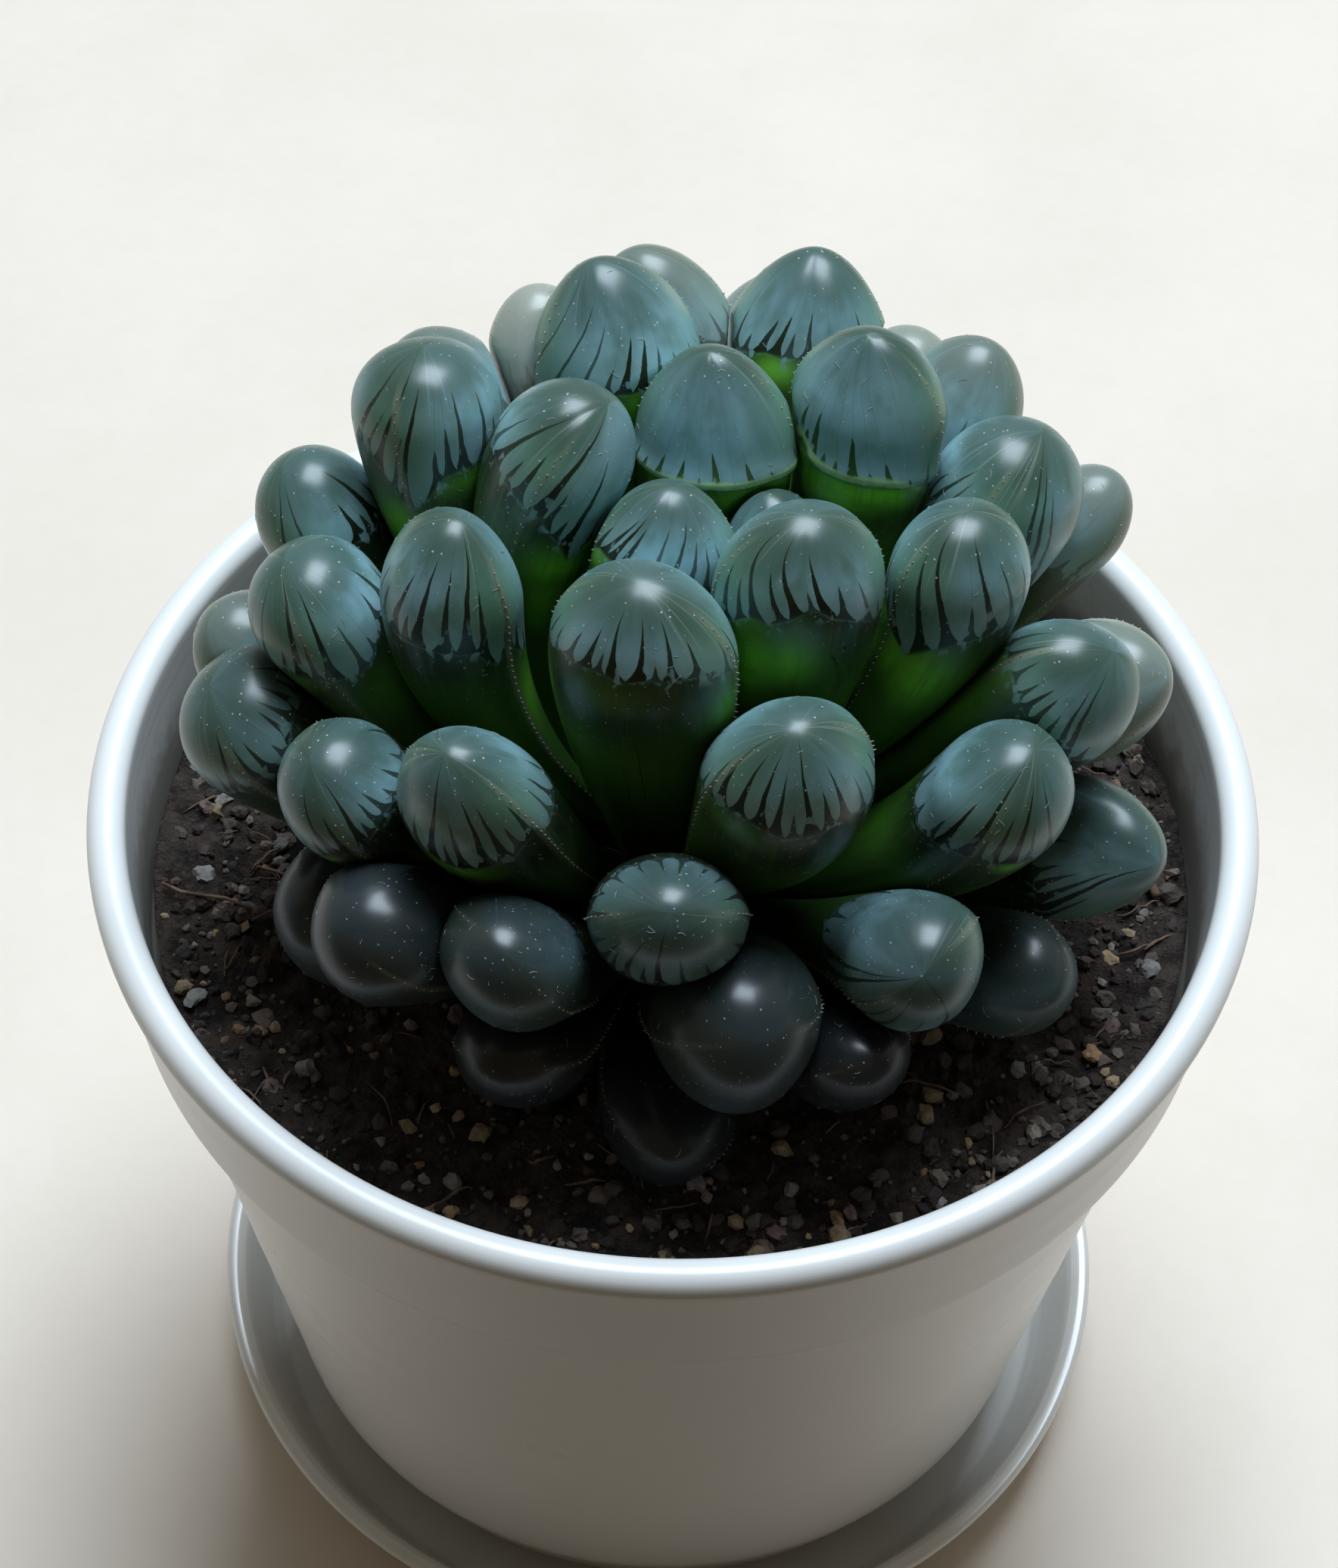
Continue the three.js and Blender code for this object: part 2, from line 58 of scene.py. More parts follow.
# ------------------------------------------------------------------ sizes, mm
SOIL_Z = 62.3
SOIL_SWELL = 0.35
STEM_R = 6.9
STEM_TOP_R = 4.0
STEM_TOP_Z = 76.4
TOP_Z = 108.98
STEM_SHOULDER_Z = 68.5
GAP = 0.3
LEAF_BASE = 0.46
LEAF_TAPER = 1.5
LEAF_THICK_BASE = 0.55
LEAF_INNER_FLAT = 0.90
LEAF_GAP = 0.34
SOIL_CLEAR = 0.35

# number, full width, thickness over width near the tip, turn of the broad face,
# length of the rounded end, roundness, four points of the curve from stem to tip
LEAVES = [
    (1, 10.96, 0.929, -1.4, 1.443, 1.873,  -0.5, 6.8, 71.4,  0.54, 17.14, 79.3,  1.6, 24.98, 89.61,  -5.05, 27.87, 101.25),
    (2, 13.04, 0.937, 9.3, 1.318, 1.684,  -2.2, 6.1, 72.4,  -3.19, 13.28, 82.59,  -3.31, 17.48, 94.92,  -7.4, 20.68, 106.89),
    (3, 9.92, 0.93, 1.5, 1.426, 1.892,  -3.9, 5.6, 71,  -7.9, 14, 80,  -9.03, 18.98, 90.99,  -12.15, 24.42, 100.8),
    (4, 13.51, 0.93, 6.4, 1.471, 1.768,  2.5, 6.8, 70.2,  5.97, 16, 78.72,  9.07, 24.12, 89.06,  9.39, 29.19, 101.13),
    (5, 10.01, 0.93, -0.8, 1.396, 1.898,  1.6, 7.4, 68.4,  3.9, 18.2, 75.2,  5.98, 29.19, 83.88,  6.77, 35.82, 92.26),
    (6, 9.95, 0.931, 2.1, 1.359, 1.948,  4.7, 5.7, 69.6,  10.2, 14.8, 76.9,  14.66, 20.7, 86.79,  17.54, 25.97, 96.3),
    (7, 9.89, 0.936, 5, 1.367, 1.888,  5.9, 4, 70.4,  12.6, 11.03, 78.56,  17.51, 17.46, 88.78,  22.63, 20.37, 100.19),
    (8, 11.58, 0.934, -2.3, 1.324, 1.938,  -5.5, 4.3, 70.9,  -11.67, 11.52, 78.77,  -16.07, 16.28, 89.3,  -20.38, 19.64, 99.94),
    (9, 11.35, 0.994, 10, 0.909, 2.179,  -6.2, 2.5, 71.7,  -13.59, 5.38, 82.02,  -18.1, 7.02, 93.9,  -19.01, 11.52, 106.64),
    (10, 11.13, 0.985, 36.5, 1.09, 1.91,  -6, 0.1, 73.7,  -11.28, 2.05, 84.87,  -13.58, 3.94, 96.84,  -5.56, 4.96, 108),
    (11, 12.92, 0.895, -11.9, 1.644, 1.792,  1.9, 5.6, 74,  2.71, 9.13, 84.46,  2.77, 10.71, 95.5,  1.44, 11.68, 106.91),
    (12, 12.02, 0.819, 16.7, 1.106, 1.671,  5.5, 2.9, 73.1,  10.87, 7.34, 85.03,  13.95, 11.09, 98.33,  12.8, 11.83, 109.02),
    (13, 11.97, 0.983, -47.8, 1.046, 2.025,  6.9, 1.8, 70.3,  15.07, 5.38, 78.71,  20.84, 8.41, 89.59,  25.8, 10.79, 100.78),
    (14, 8.1, 0.924, -1.6, 1.335, 1.935,  7.3, 2.7, 67.7,  16.67, 7.92, 74.1,  24.82, 12.86, 82.48,  32.72, 14.84, 92.1),
    (15, 10.3, 0.976, -3.1, 1.274, 2.115,  -7.3, 1.3, 69.6,  -16.2, 4.29, 76.91,  -23.28, 7.04, 86.55,  -29.33, 8.68, 97.12),
    (16, 10.52, 0.928, 0.5, 1.344, 1.923,  -1.7, -5.7, 73.9,  -2.02, -5.4, 84.65,  -1.56, -2.56, 94.98,  -0.86, -0.26, 105.27),
    (17, 8.86, 0.934, -18.3, 1.363, 1.924,  6.3, -0.2, 72.7,  8.11, 1.96, 81.58,  6.61, 4.17, 90.43,  6.12, 5.6, 98.85),
    (18, 12.01, 0.917, -46.2, 1.146, 1.999,  4.1, -4.6, 73.2,  7.21, -6.3, 84.5,  7.91, -5.56, 96.84,  8.56, -5.45, 108.2),
    (19, 10.42, 0.99, -50.3, 1.077, 2.023,  6.4, -1.9, 71.8,  14.3, -3.04, 81.06,  19.49, -3.31, 92.13,  19.85, -1.47, 105.07),
    (20, 10.6, 0.965, 35.8, 1.368, 1.828,  -5.7, -3.1, 72.3,  -13.15, -5.13, 82.2,  -17.89, -5.69, 93.37,  -15.45, -4.68, 105.87),
    (21, 10.61, 0.985, -1.3, 1.038, 2.137,  -7.2, -1.7, 69.7,  -16.35, -2.43, 77.22,  -22.55, -3.02, 87.34,  -28.32, -1.77, 98.08),
    (22, 13.51, 0.884, -4.2, 1.139, 1.968,  -0.8, -6.4, 72.3,  -1.85, -10.56, 83.6,  -2.34, -10.85, 96.41,  -2.82, -11.86, 107.82),
    (23, 10.51, 0.934, -4.6, 1.338, 1.936,  -7.8, 1, 67.2,  -18.62, 0.75, 72.24,  -28.06, 2.81, 79.07,  -34.72, 1.18, 87.85),
    (24, 11.76, 0.987, -5.1, 0.956, 2.109,  -7.6, -1.7, 66.3,  -17.91, -3.93, 71.62,  -26.69, -5.32, 79.4,  -33.77, -6.23, 89.17),
    (25, 10.21, 0.963, -18.9, 1.071, 1.933,  -6.1, -4.9, 68.5,  -14.14, -9.93, 74.78,  -20.9, -13.75, 83.68,  -25.36, -16.54, 93.58),
    (26, 11.36, 0.931, 4.5, 1.578, 1.888,  -3.5, -6.5, 69.7,  -8.75, -13.34, 77.56,  -12.85, -17.46, 87.98,  -15.62, -20.07, 99.11),
    (27, 12.69, 0.916, -1.2, 1.272, 1.846,  2.3, -6.7, 70.5,  5.7, -13.43, 79.5,  8.07, -17.05, 91.03,  8.1, -19.47, 102.22),
    (28, 10.98, 0.95, 12.7, 1.163, 1.932,  6, -4.8, 68.8,  14.5, -9.97, 75.14,  21.51, -14.18, 84.28,  24.78, -15.04, 95.55),
    (29, 11.72, 0.899, -66.2, 1.158, 2.089,  7.4, -2.1, 68.8,  16.98, -3.6, 76.27,  24.05, -4.91, 86.53,  30.71, -6.06, 96.03),
    (30, 10.64, 0.937, 3.2, 1.425, 1.854,  7.8, -0.6, 67.2,  17.73, 0.81, 73.3,  26.64, 2.92, 81.84,  35.77, -1.21, 88.14),
    (31, 11.39, 0.92, 4.7, 1.562, 1.833,  7.4, -2.4, 65.1,  17.73, -3.93, 68.72,  27.42, -5.02, 75.14,  35.65, -11.79, 79.43),
    (32, 11.19, 0.884, 3, 1.395, 1.873,  -0.1, -7.8, 68.3,  -0.3, -16.4, 75.04,  -0.26, -22.32, 84.74,  0, -28.64, 93.39),
    (33, 10.44, 0.944, -0.9, 1.131, 1.837,  4, -6.7, 66.8,  11.26, -14.69, 71.79,  17.95, -20, 80.37,  17.56, -28.47, 86.97),
    (34, 9.39, 0.944, 17.1, 1.103, 1.964,  5.9, -5.1, 65,  14.1, -10.36, 66.8,  22.59, -15.46, 70.86,  28.27, -20.98, 76.66),
    (35, 10.82, 0.88, -17.4, 1.228, 1.859,  -2.4, -7.4, 67.1,  -6.93, -16.55, 72.05,  -11.17, -23.95, 80.03,  -11.4, -29.32, 89.16),
    (36, 10.73, 1.008, -12, 1.073, 1.934,  -4.7, -6.2, 66.4,  -11.7, -13.58, 71.49,  -16.83, -20.89, 79.67,  -23.22, -25.65, 86.43),
    (37, 11.87, 0.934, -11.3, 1.345, 1.923,  -5.9, -5.1, 65.4,  -15.03, -9.95, 67.94,  -23.38, -14.51, 73.54,  -26.25, -19.58, 80.28),
    (38, 12.08, 1.117, 5.9, 1.296, 2.003,  1.2, -7.7, 65.6,  2.5, -16.59, 69.67,  3.39, -23.9, 77.09,  6.68, -32.2, 83.67),
    (39, 10.64, 0.935, -5.6, 1.712, 1.892,  -0.2, -7.8, 63.9,  -0.15, -16.16, 64.03,  0.09, -24.62, 65.26,  0.66, -32.79, 68.94),
    (40, 9.65, 0.932, 7.7, 1.422, 1.909,  -2.5, -7.4, 65,  -6.23, -15.84, 66.96,  -9.87, -23.83, 71.53,  -11.67, -31.06, 78.2),
    (41, 9.12, 0.929, -0.1, 1.406, 1.899,  3.2, -7.1, 64.9,  7.41, -15.81, 66.71,  11.81, -23.99, 70.91,  14.75, -29.89, 78.71),
    (42, 11.6, 0.93, 0, 1.4, 1.9,  -1.4, 7.7, 65.6,  -3.6, 16.4, 68.6,  -5.7, 23.7, 74.6,  -6.5, 28.6, 82.6),
    (43, 12, 0.93, 0, 1.4, 1.9,  2.7, 7.3, 65.8,  6, 16.2, 68.5,  9, 23.5, 74.1,  11.4, 28.5, 82),
    (44, 11.6, 0.93, 0, 1.4, 1.9,  5.8, 5.2, 65.4,  12.3, 11.2, 68.3,  18, 16.4, 74.4,  21.7, 19.8, 82.3),
    (45, 11.6, 0.93, 0, 1.4, 1.9,  -4.9, 6.1, 65.5,  -10.6, 12.9, 68.6,  -15.5, 18.7, 74.8,  -18.4, 22.8, 82.7),
    (46, 11.2, 0.93, 0, 1.4, 1.9,  -7.2, 3.1, 64.9,  -15.3, 6.2, 66.9,  -22.7, 9, 71.9,  -27.4, 11.6, 79),
    (47, 10.8, 0.93, 0, 1.4, 1.9,  7.5, 2, 64.7,  16, 3.9, 65.9,  23.8, 5.5, 69.9,  29.1, 7.2, 76.8),
    (48, 10.4, 0.93, 0, 1.4, 1.9,  0.3, 7.8, 64.2,  0.8, 15.9, 64,  1.3, 24.1, 66.5,  1.6, 29.6, 72.6),
    (49, 10.4, 0.93, 0, 1.4, 1.9,  4.1, 6.6, 64.2,  8.5, 13.4, 63.8,  13, 20.3, 66.1,  16.1, 25, 72),
    (50, 10.4, 0.93, 0, 1.4, 1.9,  -3.6, 6.9, 64.1,  -7.1, 14.2, 63.8,  -10.8, 21.5, 65.8,  -13.3, 26.7, 71.8),
    (51, 9.6, 0.93, 0, 1.4, 1.9,  6.8, 3.9, 64.1,  13.2, 7.9, 63.9,  20.1, 12.3, 65.1,  24.9, 15.5, 70.5),
    (52, 10, 0.93, 0, 1.4, 1.9,  -6.3, 4.6, 64,  -12.3, 9.5, 64.1,  -18.7, 14.7, 65.2,  -23.4, 18.6, 70.4),
    (53, 9.6, 0.93, 0, 1.4, 1.9,  -7.8, 0.3, 64,  -15.3, 0.5, 63.8,  -23.3, 0.8, 65.4,  -28.7, 1, 70.9),
]

# Veins that run up into the window of each leaf: angle about the leaf at the
# foot and at the top (degrees, 90 is the outer face, -90 the inner one, 0 and
# 180 the margins), how far along the leaf it ends, and its strength.
VEINS = {
    9: [(-73, -76, 0.915, .6), (-52, -53, 0.925, .7), (-40, -40, 0.88, .8), (-28, -29, 0.845, .9), (4, -13, 0.93, 1),
        (10, -7, 0.86, .8), (22, 1, 0.965, 1), (33, 15, 0.90, .7), (43, 18, 0.97, .9)],
    10: [(-62, -66, 0.80, .6), (-41, -46, 0.905, 1), (-30, -34, 0.80, .8), (-19, -22, 0.855, .8), (-8, -23, 0.975, 1), (12, 11, 0.89, .8),
         (26, 22, 0.86, .6), (46, 24, 0.945, .8), (62, 52, 0.90, .4)],
    20: [(-12, -12, 0.78, .8), (1, 2, 0.925, .7), (22, 23, 0.885, .9), (37, 33, 0.955, 1), (53, 53, 0.92, .9), (75, 73, 0.93, .9),
         (85, 85, 0.84, .8), (97, 93, 0.90, .8), (112, 112, 0.86, .6)],
    18: [(52, 56, 0.90, .4), (73, 75, 0.91, .8), (86, 100, 0.955, 1), (97, 104, 0.91, .6), (108, 131, 0.965, 1), (119, 134, 0.92, .9),
         (136, 166, 0.97, .8), (148, 156, 0.885, .8), (161, 178, 0.89, .9)],
    19: [(76, 88, 0.925, .5), (95, 116, 0.955, .9), (113, 117, 0.865, .8), (128, 161, 0.97, 1), (148, 168, 0.915, 1),
         (171, 191, 0.84, .9), (188, 198, 0.83, .6), (203, 204, 0.90, .4)],
    22: [(8, 2, 0.89, .35), (31, 29, 0.925, .7), (51, 44, 0.96, .9), (62, 60, 0.91, .7), (74, 68, 0.965, 1), (90, 97, 0.97, 1), (101, 102, 0.92, .7),
         (111, 112, 0.945, .9), (126, 127, 0.925, .6), (143, 146, 0.90, .35)],
    27: [(52, 50, 0.90, .3), (70, 69, 0.945, .8), (83, 83, 0.92, .9), (95, 101, 0.98, 1), (108, 109, 0.89, .6), (120, 121, 0.945, .9), (132, 139, 0.965, 1),
         (151, 157, 0.955, 1), (166, 187, 0.965, 1), (178, 190, 0.91, .8)],
    21: [(-28, -36, 0.87, .4), (-3, -17, 0.94, 1), (9, 4, 0.88, .7), (21, -1, 0.975, 1), (33, 25, 0.88, .7), (52, 38, 0.97, .7)],
    26: [(-20, -22, 0.86, .3), (6, 5, 0.885, .8), (20, 20, 0.86, .9), (34, 31, 0.91, .9), (49, 44, 0.925, 1), (67, 66, 0.89, 1),
         (80, 79, 0.84, .7), (94, 72, 0.975, 1), (108, 106, 0.89, .7)],
    28: [(113, 133, 0.965, .6), (133, 140, 0.90, .5), (148, 152, 0.95, 1), (163, 166, 0.905, .9), (175, 177, 0.86, .7), (186, 187, 0.97, 1), (206, 208, 0.89, 1)],
    2: [(-96, -104, 0.83, .6), (-84, -99, 0.85, 1), (-72, -80, 0.86, 1), (-60, -64, 0.825, .7), (-36, -76, 0.89, .5), (-4, -70, 0.92, .6), (22, -30, 0.955, .4)],
    12: [(-150, -146, 0.745, .8), (-132, -118, 0.775, 1), (-118, -112, 0.755, .8), (-105, -100, 0.815, 1), (-92, -92, 0.76, .8), (-81, -83, 0.765, .8), (-70, -80, 0.84, 1),
         (-61, -64, 0.80, 1), (-53, -62, 0.845, 1), (-42, -46, 0.80, 1)],
    11: [(-174, -173, 0.78, .8), (-160, -160, 0.752, .7), (-146, -145, 0.76, .6), (-130, -128, 0.785, 1), (-117, -117, 0.755, .6), (-104, -103, 0.805, 1),
         (-92, -92, 0.76, .6), (-78, -80, 0.785, .9), (-62, -64, 0.785, .8), (-48, -50, 0.765, .8), (-36, -36, 0.77, .7)],
    4: [(-97, -98, 0.885, .7), (-84, -86, 0.85, .7), (-74, -80, 0.875, 1), (-62, -69, 0.865, 1), (-50, -53, 0.83, .7)],
    13: [(106, 128, 0.91, .5), (118, 140, 0.94, .6), (128, 152, 0.965, .6), (215, 203, 0.87, .4), (228, 210, 0.89, .7), (240, 228, 0.85, .6)],
    15: [(-90, -90, 0.94, 1), (-78, -78, 0.85, .8), (-67, -69, 0.89, 1), (-20, -26, 0.96, .4), (8, -12, 0.965, .5)],
    16: [(-104, -112, 0.90, .5), (-86, -106, 0.93, .6), (-72, -82, 0.925, .5), (-44, -56, 0.92, .8), (-30, -50, 0.935, 1), (-18, -40, 0.93, 1), (-4, -14, 0.90, .7)],
    24: [(-96, -99, 0.955, 1), (-84, -87, 0.93, .9), (-73, -75, 0.95, 1), (-61, -60, 0.945, .9), (-48, -50, 0.935, .9), (-34, -34, 0.89, .5),
         (-18, -18, 0.925, .8), (-5, -6, 0.93, .7), (17, 5, 0.955, 1), (28, 24, 0.90, .6)],
    25: [(-62, -60, 0.89, .5), (-47, -46, 0.925, .7), (-34, -35, 0.925, .7), (-22, -24, 0.90, .7), (-9, -19, 0.97, 1), (5, 9, 0.935, .9), (16, 30, 0.965, 1), (29, 34, 0.90, .8)],
    29: [(90, 107, 0.97, .6), (98, 112, 0.94, .6), (112, 117, 0.89, .5), (127, 130, 0.905, .8), (140, 140, 0.91, .8), (151, 151, 0.90, .5)],
    31: [(-176, -150, 0.86, .7), (-166, -93, 0.965, .9), (-152, -110, 0.90, .7), (-138, -112, 0.84, .6)],
    32: [(60, 58, 0.88, .4), (78, 79, 0.915, .6), (95, 104, 0.965, 1), (108, 112, 0.88, .7), (123, 128, 0.935, .9), (136, 140, 0.88, .5), (146, 148, 0.91, .5)],
    33: [(106, 96, 0.985, .9), (130, 126, 0.92, .5), (151, 153, 0.955, .7), (167, 166, 0.94, .6), (178, 182, 0.90, .6), (190, 221, 0.985, .9), (206, 226, 0.93, .6)],
    7: [(-122, -122, 0.86, .5), (-100, -100, 0.82, .3)],
}
# Where the window begins, as (angle, share of the leaf's length)
STARTS = {
    9: [(-90, .835), (-60, .80), (-46, .805), (-35, .80), (-20, .765), (-6, .74), (6, .755), (15, .80), (28, .84), (45, .855), (60, .84)],
    10: [(-85, .77), (-70, .745), (-55, .705), (-47, .69), (-36, .745), (-24, .77), (-13, .80), (2, .805), (20, .81), (36, .815), (60, .83), (90, .85)],
    20: [(-34, .66), (-18, .69), (-5, .735), (0, .76), (11, .72), (18, .725), (29, .775), (45, .78), (64, .79), (80, .795), (91, .795), (105, .80), (125, .82)],
    18: [(45, .80), (62, .835), (80, .86), (92, .88), (102, .878), (113, .86), (127, .84), (142, .84), (154, .805), (168, .79), (185, .795)],
    19: [(60, .825), (85, .815), (104, .805), (121, .79), (138, .765), (157, .72), (165, .73), (180, .765), (196, .80), (212, .82)],
    22: [(-25, .80), (5, .825), (20, .86), (38, .878), (57, .885), (68, .89), (83, .885), (96, .89), (106, .89), (118, .885), (134, .878), (150, .85), (165, .82)],
    27: [(40, .81), (60, .845), (76, .862), (89, .85), (102, .85), (114, .843), (126, .855), (142, .862), (158, .855), (172, .845), (190, .82), (210, .80)],
    21: [(-70, .82), (-45, .78), (-25, .765), (-10, .785), (4, .80), (15, .81), (28, .825), (45, .85), (70, .86)],
    26: [(-70, .75), (-35, .77), (-8, .785), (12, .81), (27, .795), (41, .79), (58, .78), (73, .775), (87, .78), (101, .80), (122, .84)],
    28: [(105, .835), (123, .825), (140, .815), (156, .81), (170, .81), (181, .805), (196, .79), (214, .755), (235, .73), (262, .72), (290, .735)],
    2: [(-130, .75), (-100, .765), (-90, .775), (-78, .775), (-66, .785), (-50, .78), (-20, .76), (20, .775)],
    12: [(-185, .69), (-160, .708), (-141, .728), (-124, .735), (-111, .73), (-98, .727), (-86, .73), (-75, .735), (-65, .755), (-57, .775), (-46, .765), (-35, .75)],
    11: [(-185, .735), (-166, .738), (-140, .737), (-124, .737), (-110, .737), (-97, .738), (-85, .737), (-70, .737), (-55, .735), (-42, .73), (-25, .725)],
    4: [(-120, .80), (-90, .81), (-79, .805), (-68, .81), (-56, .80), (-30, .80)],
    13: [(80, .70), (100, .73), (150, .74), (200, .76), (222, .78), (240, .78)],
    15: [(-120, .84), (-98, .825), (-84, .81), (-72, .815), (-58, .825), (-20, .80), (20, .82)],
    16: [(-120, .80), (-95, .82), (-78, .83), (-58, .83), (-37, .845), (-24, .85), (-10, .85), (10, .82)],
    24: [(-112, .87), (-90, .88), (-78, .88), (-67, .885), (-54, .88), (-40, .865), (-26, .86), (-10, .865), (5, .865), (24, .86), (45, .83)],
    25: [(-85, .83), (-55, .86), (-40, .875), (-28, .87), (-15, .865), (-2, .845), (10, .865), (22, .86), (40, .853), (60, .86)],
    29: [(60, .82), (85, .825), (105, .83), (120, .835), (134, .845), (146, .855), (165, .87), (195, .865), (215, .85)],
    31: [(-200, .73), (-180, .735), (-160, .745), (-145, .755), (-128, .76), (-100, .73), (-60, .72)],
    32: [(45, .79), (70, .785), (86, .785), (100, .79), (115, .79), (130, .795), (150, .80), (180, .82), (220, .86), (270, .87), (300, .86), (330, .83)],
    33: [(90, .80), (118, .80), (140, .79), (160, .775), (172, .76), (184, .73), (198, .68), (220, .61), (260, .60), (285, .66)],
    7: [(-150, .79), (-110, .785), (-80, .80)],
}
# Places where light from behind makes the green body glow, painted into its colour as bright green: angle, share of the
# length, half widths of the patch in both, strength
GLOWS = {
    10: [(-45, .66, 34, .055, 1.0), (-38, .58, 26, .09, .7), (-60, .72, 22, .03, .7)],
    11: [(-140, .70, 45, .035, .75), (-48, .69, 26, .04, .6)],
    12: [(-122, .70, 60, .032, 1.15), (-95, .675, 45, .03, .8), (-62, .70, 30, .05, .6)],
    18: [(138, .68, 24, .13, 1.0), (112, .72, 22, .10, .55)],
    19: [(140, .67, 30, .09, .95), (168, .70, 26, .07, .8), (190, .77, 16, .03, .6)],
    9: [(14, .70, 22, .05, .7), (-50, .775, 24, .025, .4)],
    29: [(178, .70, 22, .14, .5)],
    2: [(-78, .745, 14, .035, .7)],
    4: [(-76, .775, 16, .03, .6)],
    16: [(-8, .83, 22, .03, .7), (-30, .84, 14, .02, .5)],
    22: [(8, .74, 18, .08, .4), (148, .76, 8, .05, .7), (90, .84, 30, .04, .16)],
    20: [(-20, .55, 26, .12, .55), (-30, .70, 10, .05, .6)],
    26: [(76, .755, 26, .04, .75), (55, .77, 12, .02, .4)],
    27: [(180, .60, 14, .14, .45), (150, .82, 30, .03, .25)],
    28: [(262, .52, 34, .12, .4), (142, .795, 12, .02, .7), (290, .55, 20, .2, .3)],
    25: [(-26, .64, 5, .06, .9), (30, .835, 10, .012, .8)],
    17: [(-60, .72, 60, .12, .5)],
    21: [(-30, .66, 30, .08, .3), (35, .80, 18, .03, .3)],
    13: [(240, .78, 20, .03, .4)], 7: [(-122, .79, 10, .02, .5)],
}
# how each leaf looks: painted shade (0 light, 1 nearly black), pallor (0 to 1), how
# dark the green body is painted as shade, how strongly the margin shows as a pale line
SHADE = {34: 0.80, 35: 0.80, 36: 0.93, 37: 0.93, 38: 0.88, 39: 0.98, 40: 1.0, 41: 1.0,
         32: 0.42, 33: 0.45, 31: 0.22, 28: 0.10, 25: 0.22, 26: 0.10, 24: 0.25, 23: 0.10}
PALE = {3: 0.9, 6: 0.7, 14: 0.35, 30: 0.40, 8: 0.25, 7: 0.25, 1: 0.30, 5: 0.45, 23: 0.30}
PAINTED_BODY_SHADE = {26: 0.75, 28: 0.45, 25: 0.85, 31: 0.75, 33: 0.85, 32: 0.80, 24: 0.75, 15: 0.7, 27: 0.35, 22: 0.30,
        21: 0.45, 20: 0.55, 23: 0.6, 36: 1.0, 35: 1.0, 38: 1.0, 39: 1.0, 40: 1.0, 41: 1.0, 37: 1.0, 34: 0.95}
MARGIN = {22: 0.55, 27: 0.5, 26: 0.45, 20: 0.7, 29: 0.6, 30: 0.8, 13: 0.35, 24: 0.6, 36: 0.8, 25: 0.6, 33: 0.6,
          9: 0.7, 31: 0.5, 14: 0.5, 23: 0.5, 34: 0.4, 38: 0.35, 11: 0.15, 12: 0.5, 18: 0.3, 19: 0.35, 21: 0.4}
# creases running down from the tip: angle in degrees, depth, width in degrees
CREASES = {11: [(-108, 0.05, 9), (-78, 0.045, 8), (-140, 0.03, 8), (-40, 0.03, 9)],
           12: [(-100, 0.045, 9), (-70, 0.04, 8), (-140, 0.03, 8)],
           18: [(112, 0.05, 7), (134, 0.03, 7)],
           16: [(-70, 0.05, 8), (-34, 0.03, 7)],
           10: [(20, 0.05, 8), (-10, 0.03, 7)],
           22: [(70, 0.02, 9)], 27: [(110, 0.02, 9)], 33: [(-150, 0.03, 8)],
           4: [(-90, 0.03, 9)], 2: [(-60, 0.03, 9)], 31: [(-80, 0.03, 9)]}
# two leaves show their flat inner face with a lip along its lower edge: angles
# between which the lip runs, its place along the leaf, depth of the step below
LIPS = {11: (-188, -18, 0.736, 0.15), 12: (-186, -30, 0.728, 0.11)}


WINDOW_BLUE = (0.258, 0.475, 0.530)
WINDOW_GREEN = (0.125, 0.262, 0.178)


def rng_for(n):
    return np.random.default_rng(7000 + n)


def smooth(a, b, x):
    t = np.clip((np.asarray(x, float) - a) / (b - a), 0, 1)
    return t * t * (3 - 2 * t)


def soil_height(x, y):
    return SOIL_Z + SOIL_SWELL * (0.6 * np.sin(0.16 * x + 0.9) * np.cos(0.13 * y - 0.4)
                                  + 0.4 * np.sin(0.09 * x - 0.21 * y + 2.0))


def stem_radius(z):
    r = STEM_R + (STEM_TOP_R - STEM_R) * smooth(STEM_SHOULDER_Z, STEM_TOP_Z, z)
    return np.where(np.asarray(z) > STEM_TOP_Z, 0, r)


def unit(v):
    return v / np.maximum(1e-9, np.linalg.norm(v, axis=-1, keepdims=True))


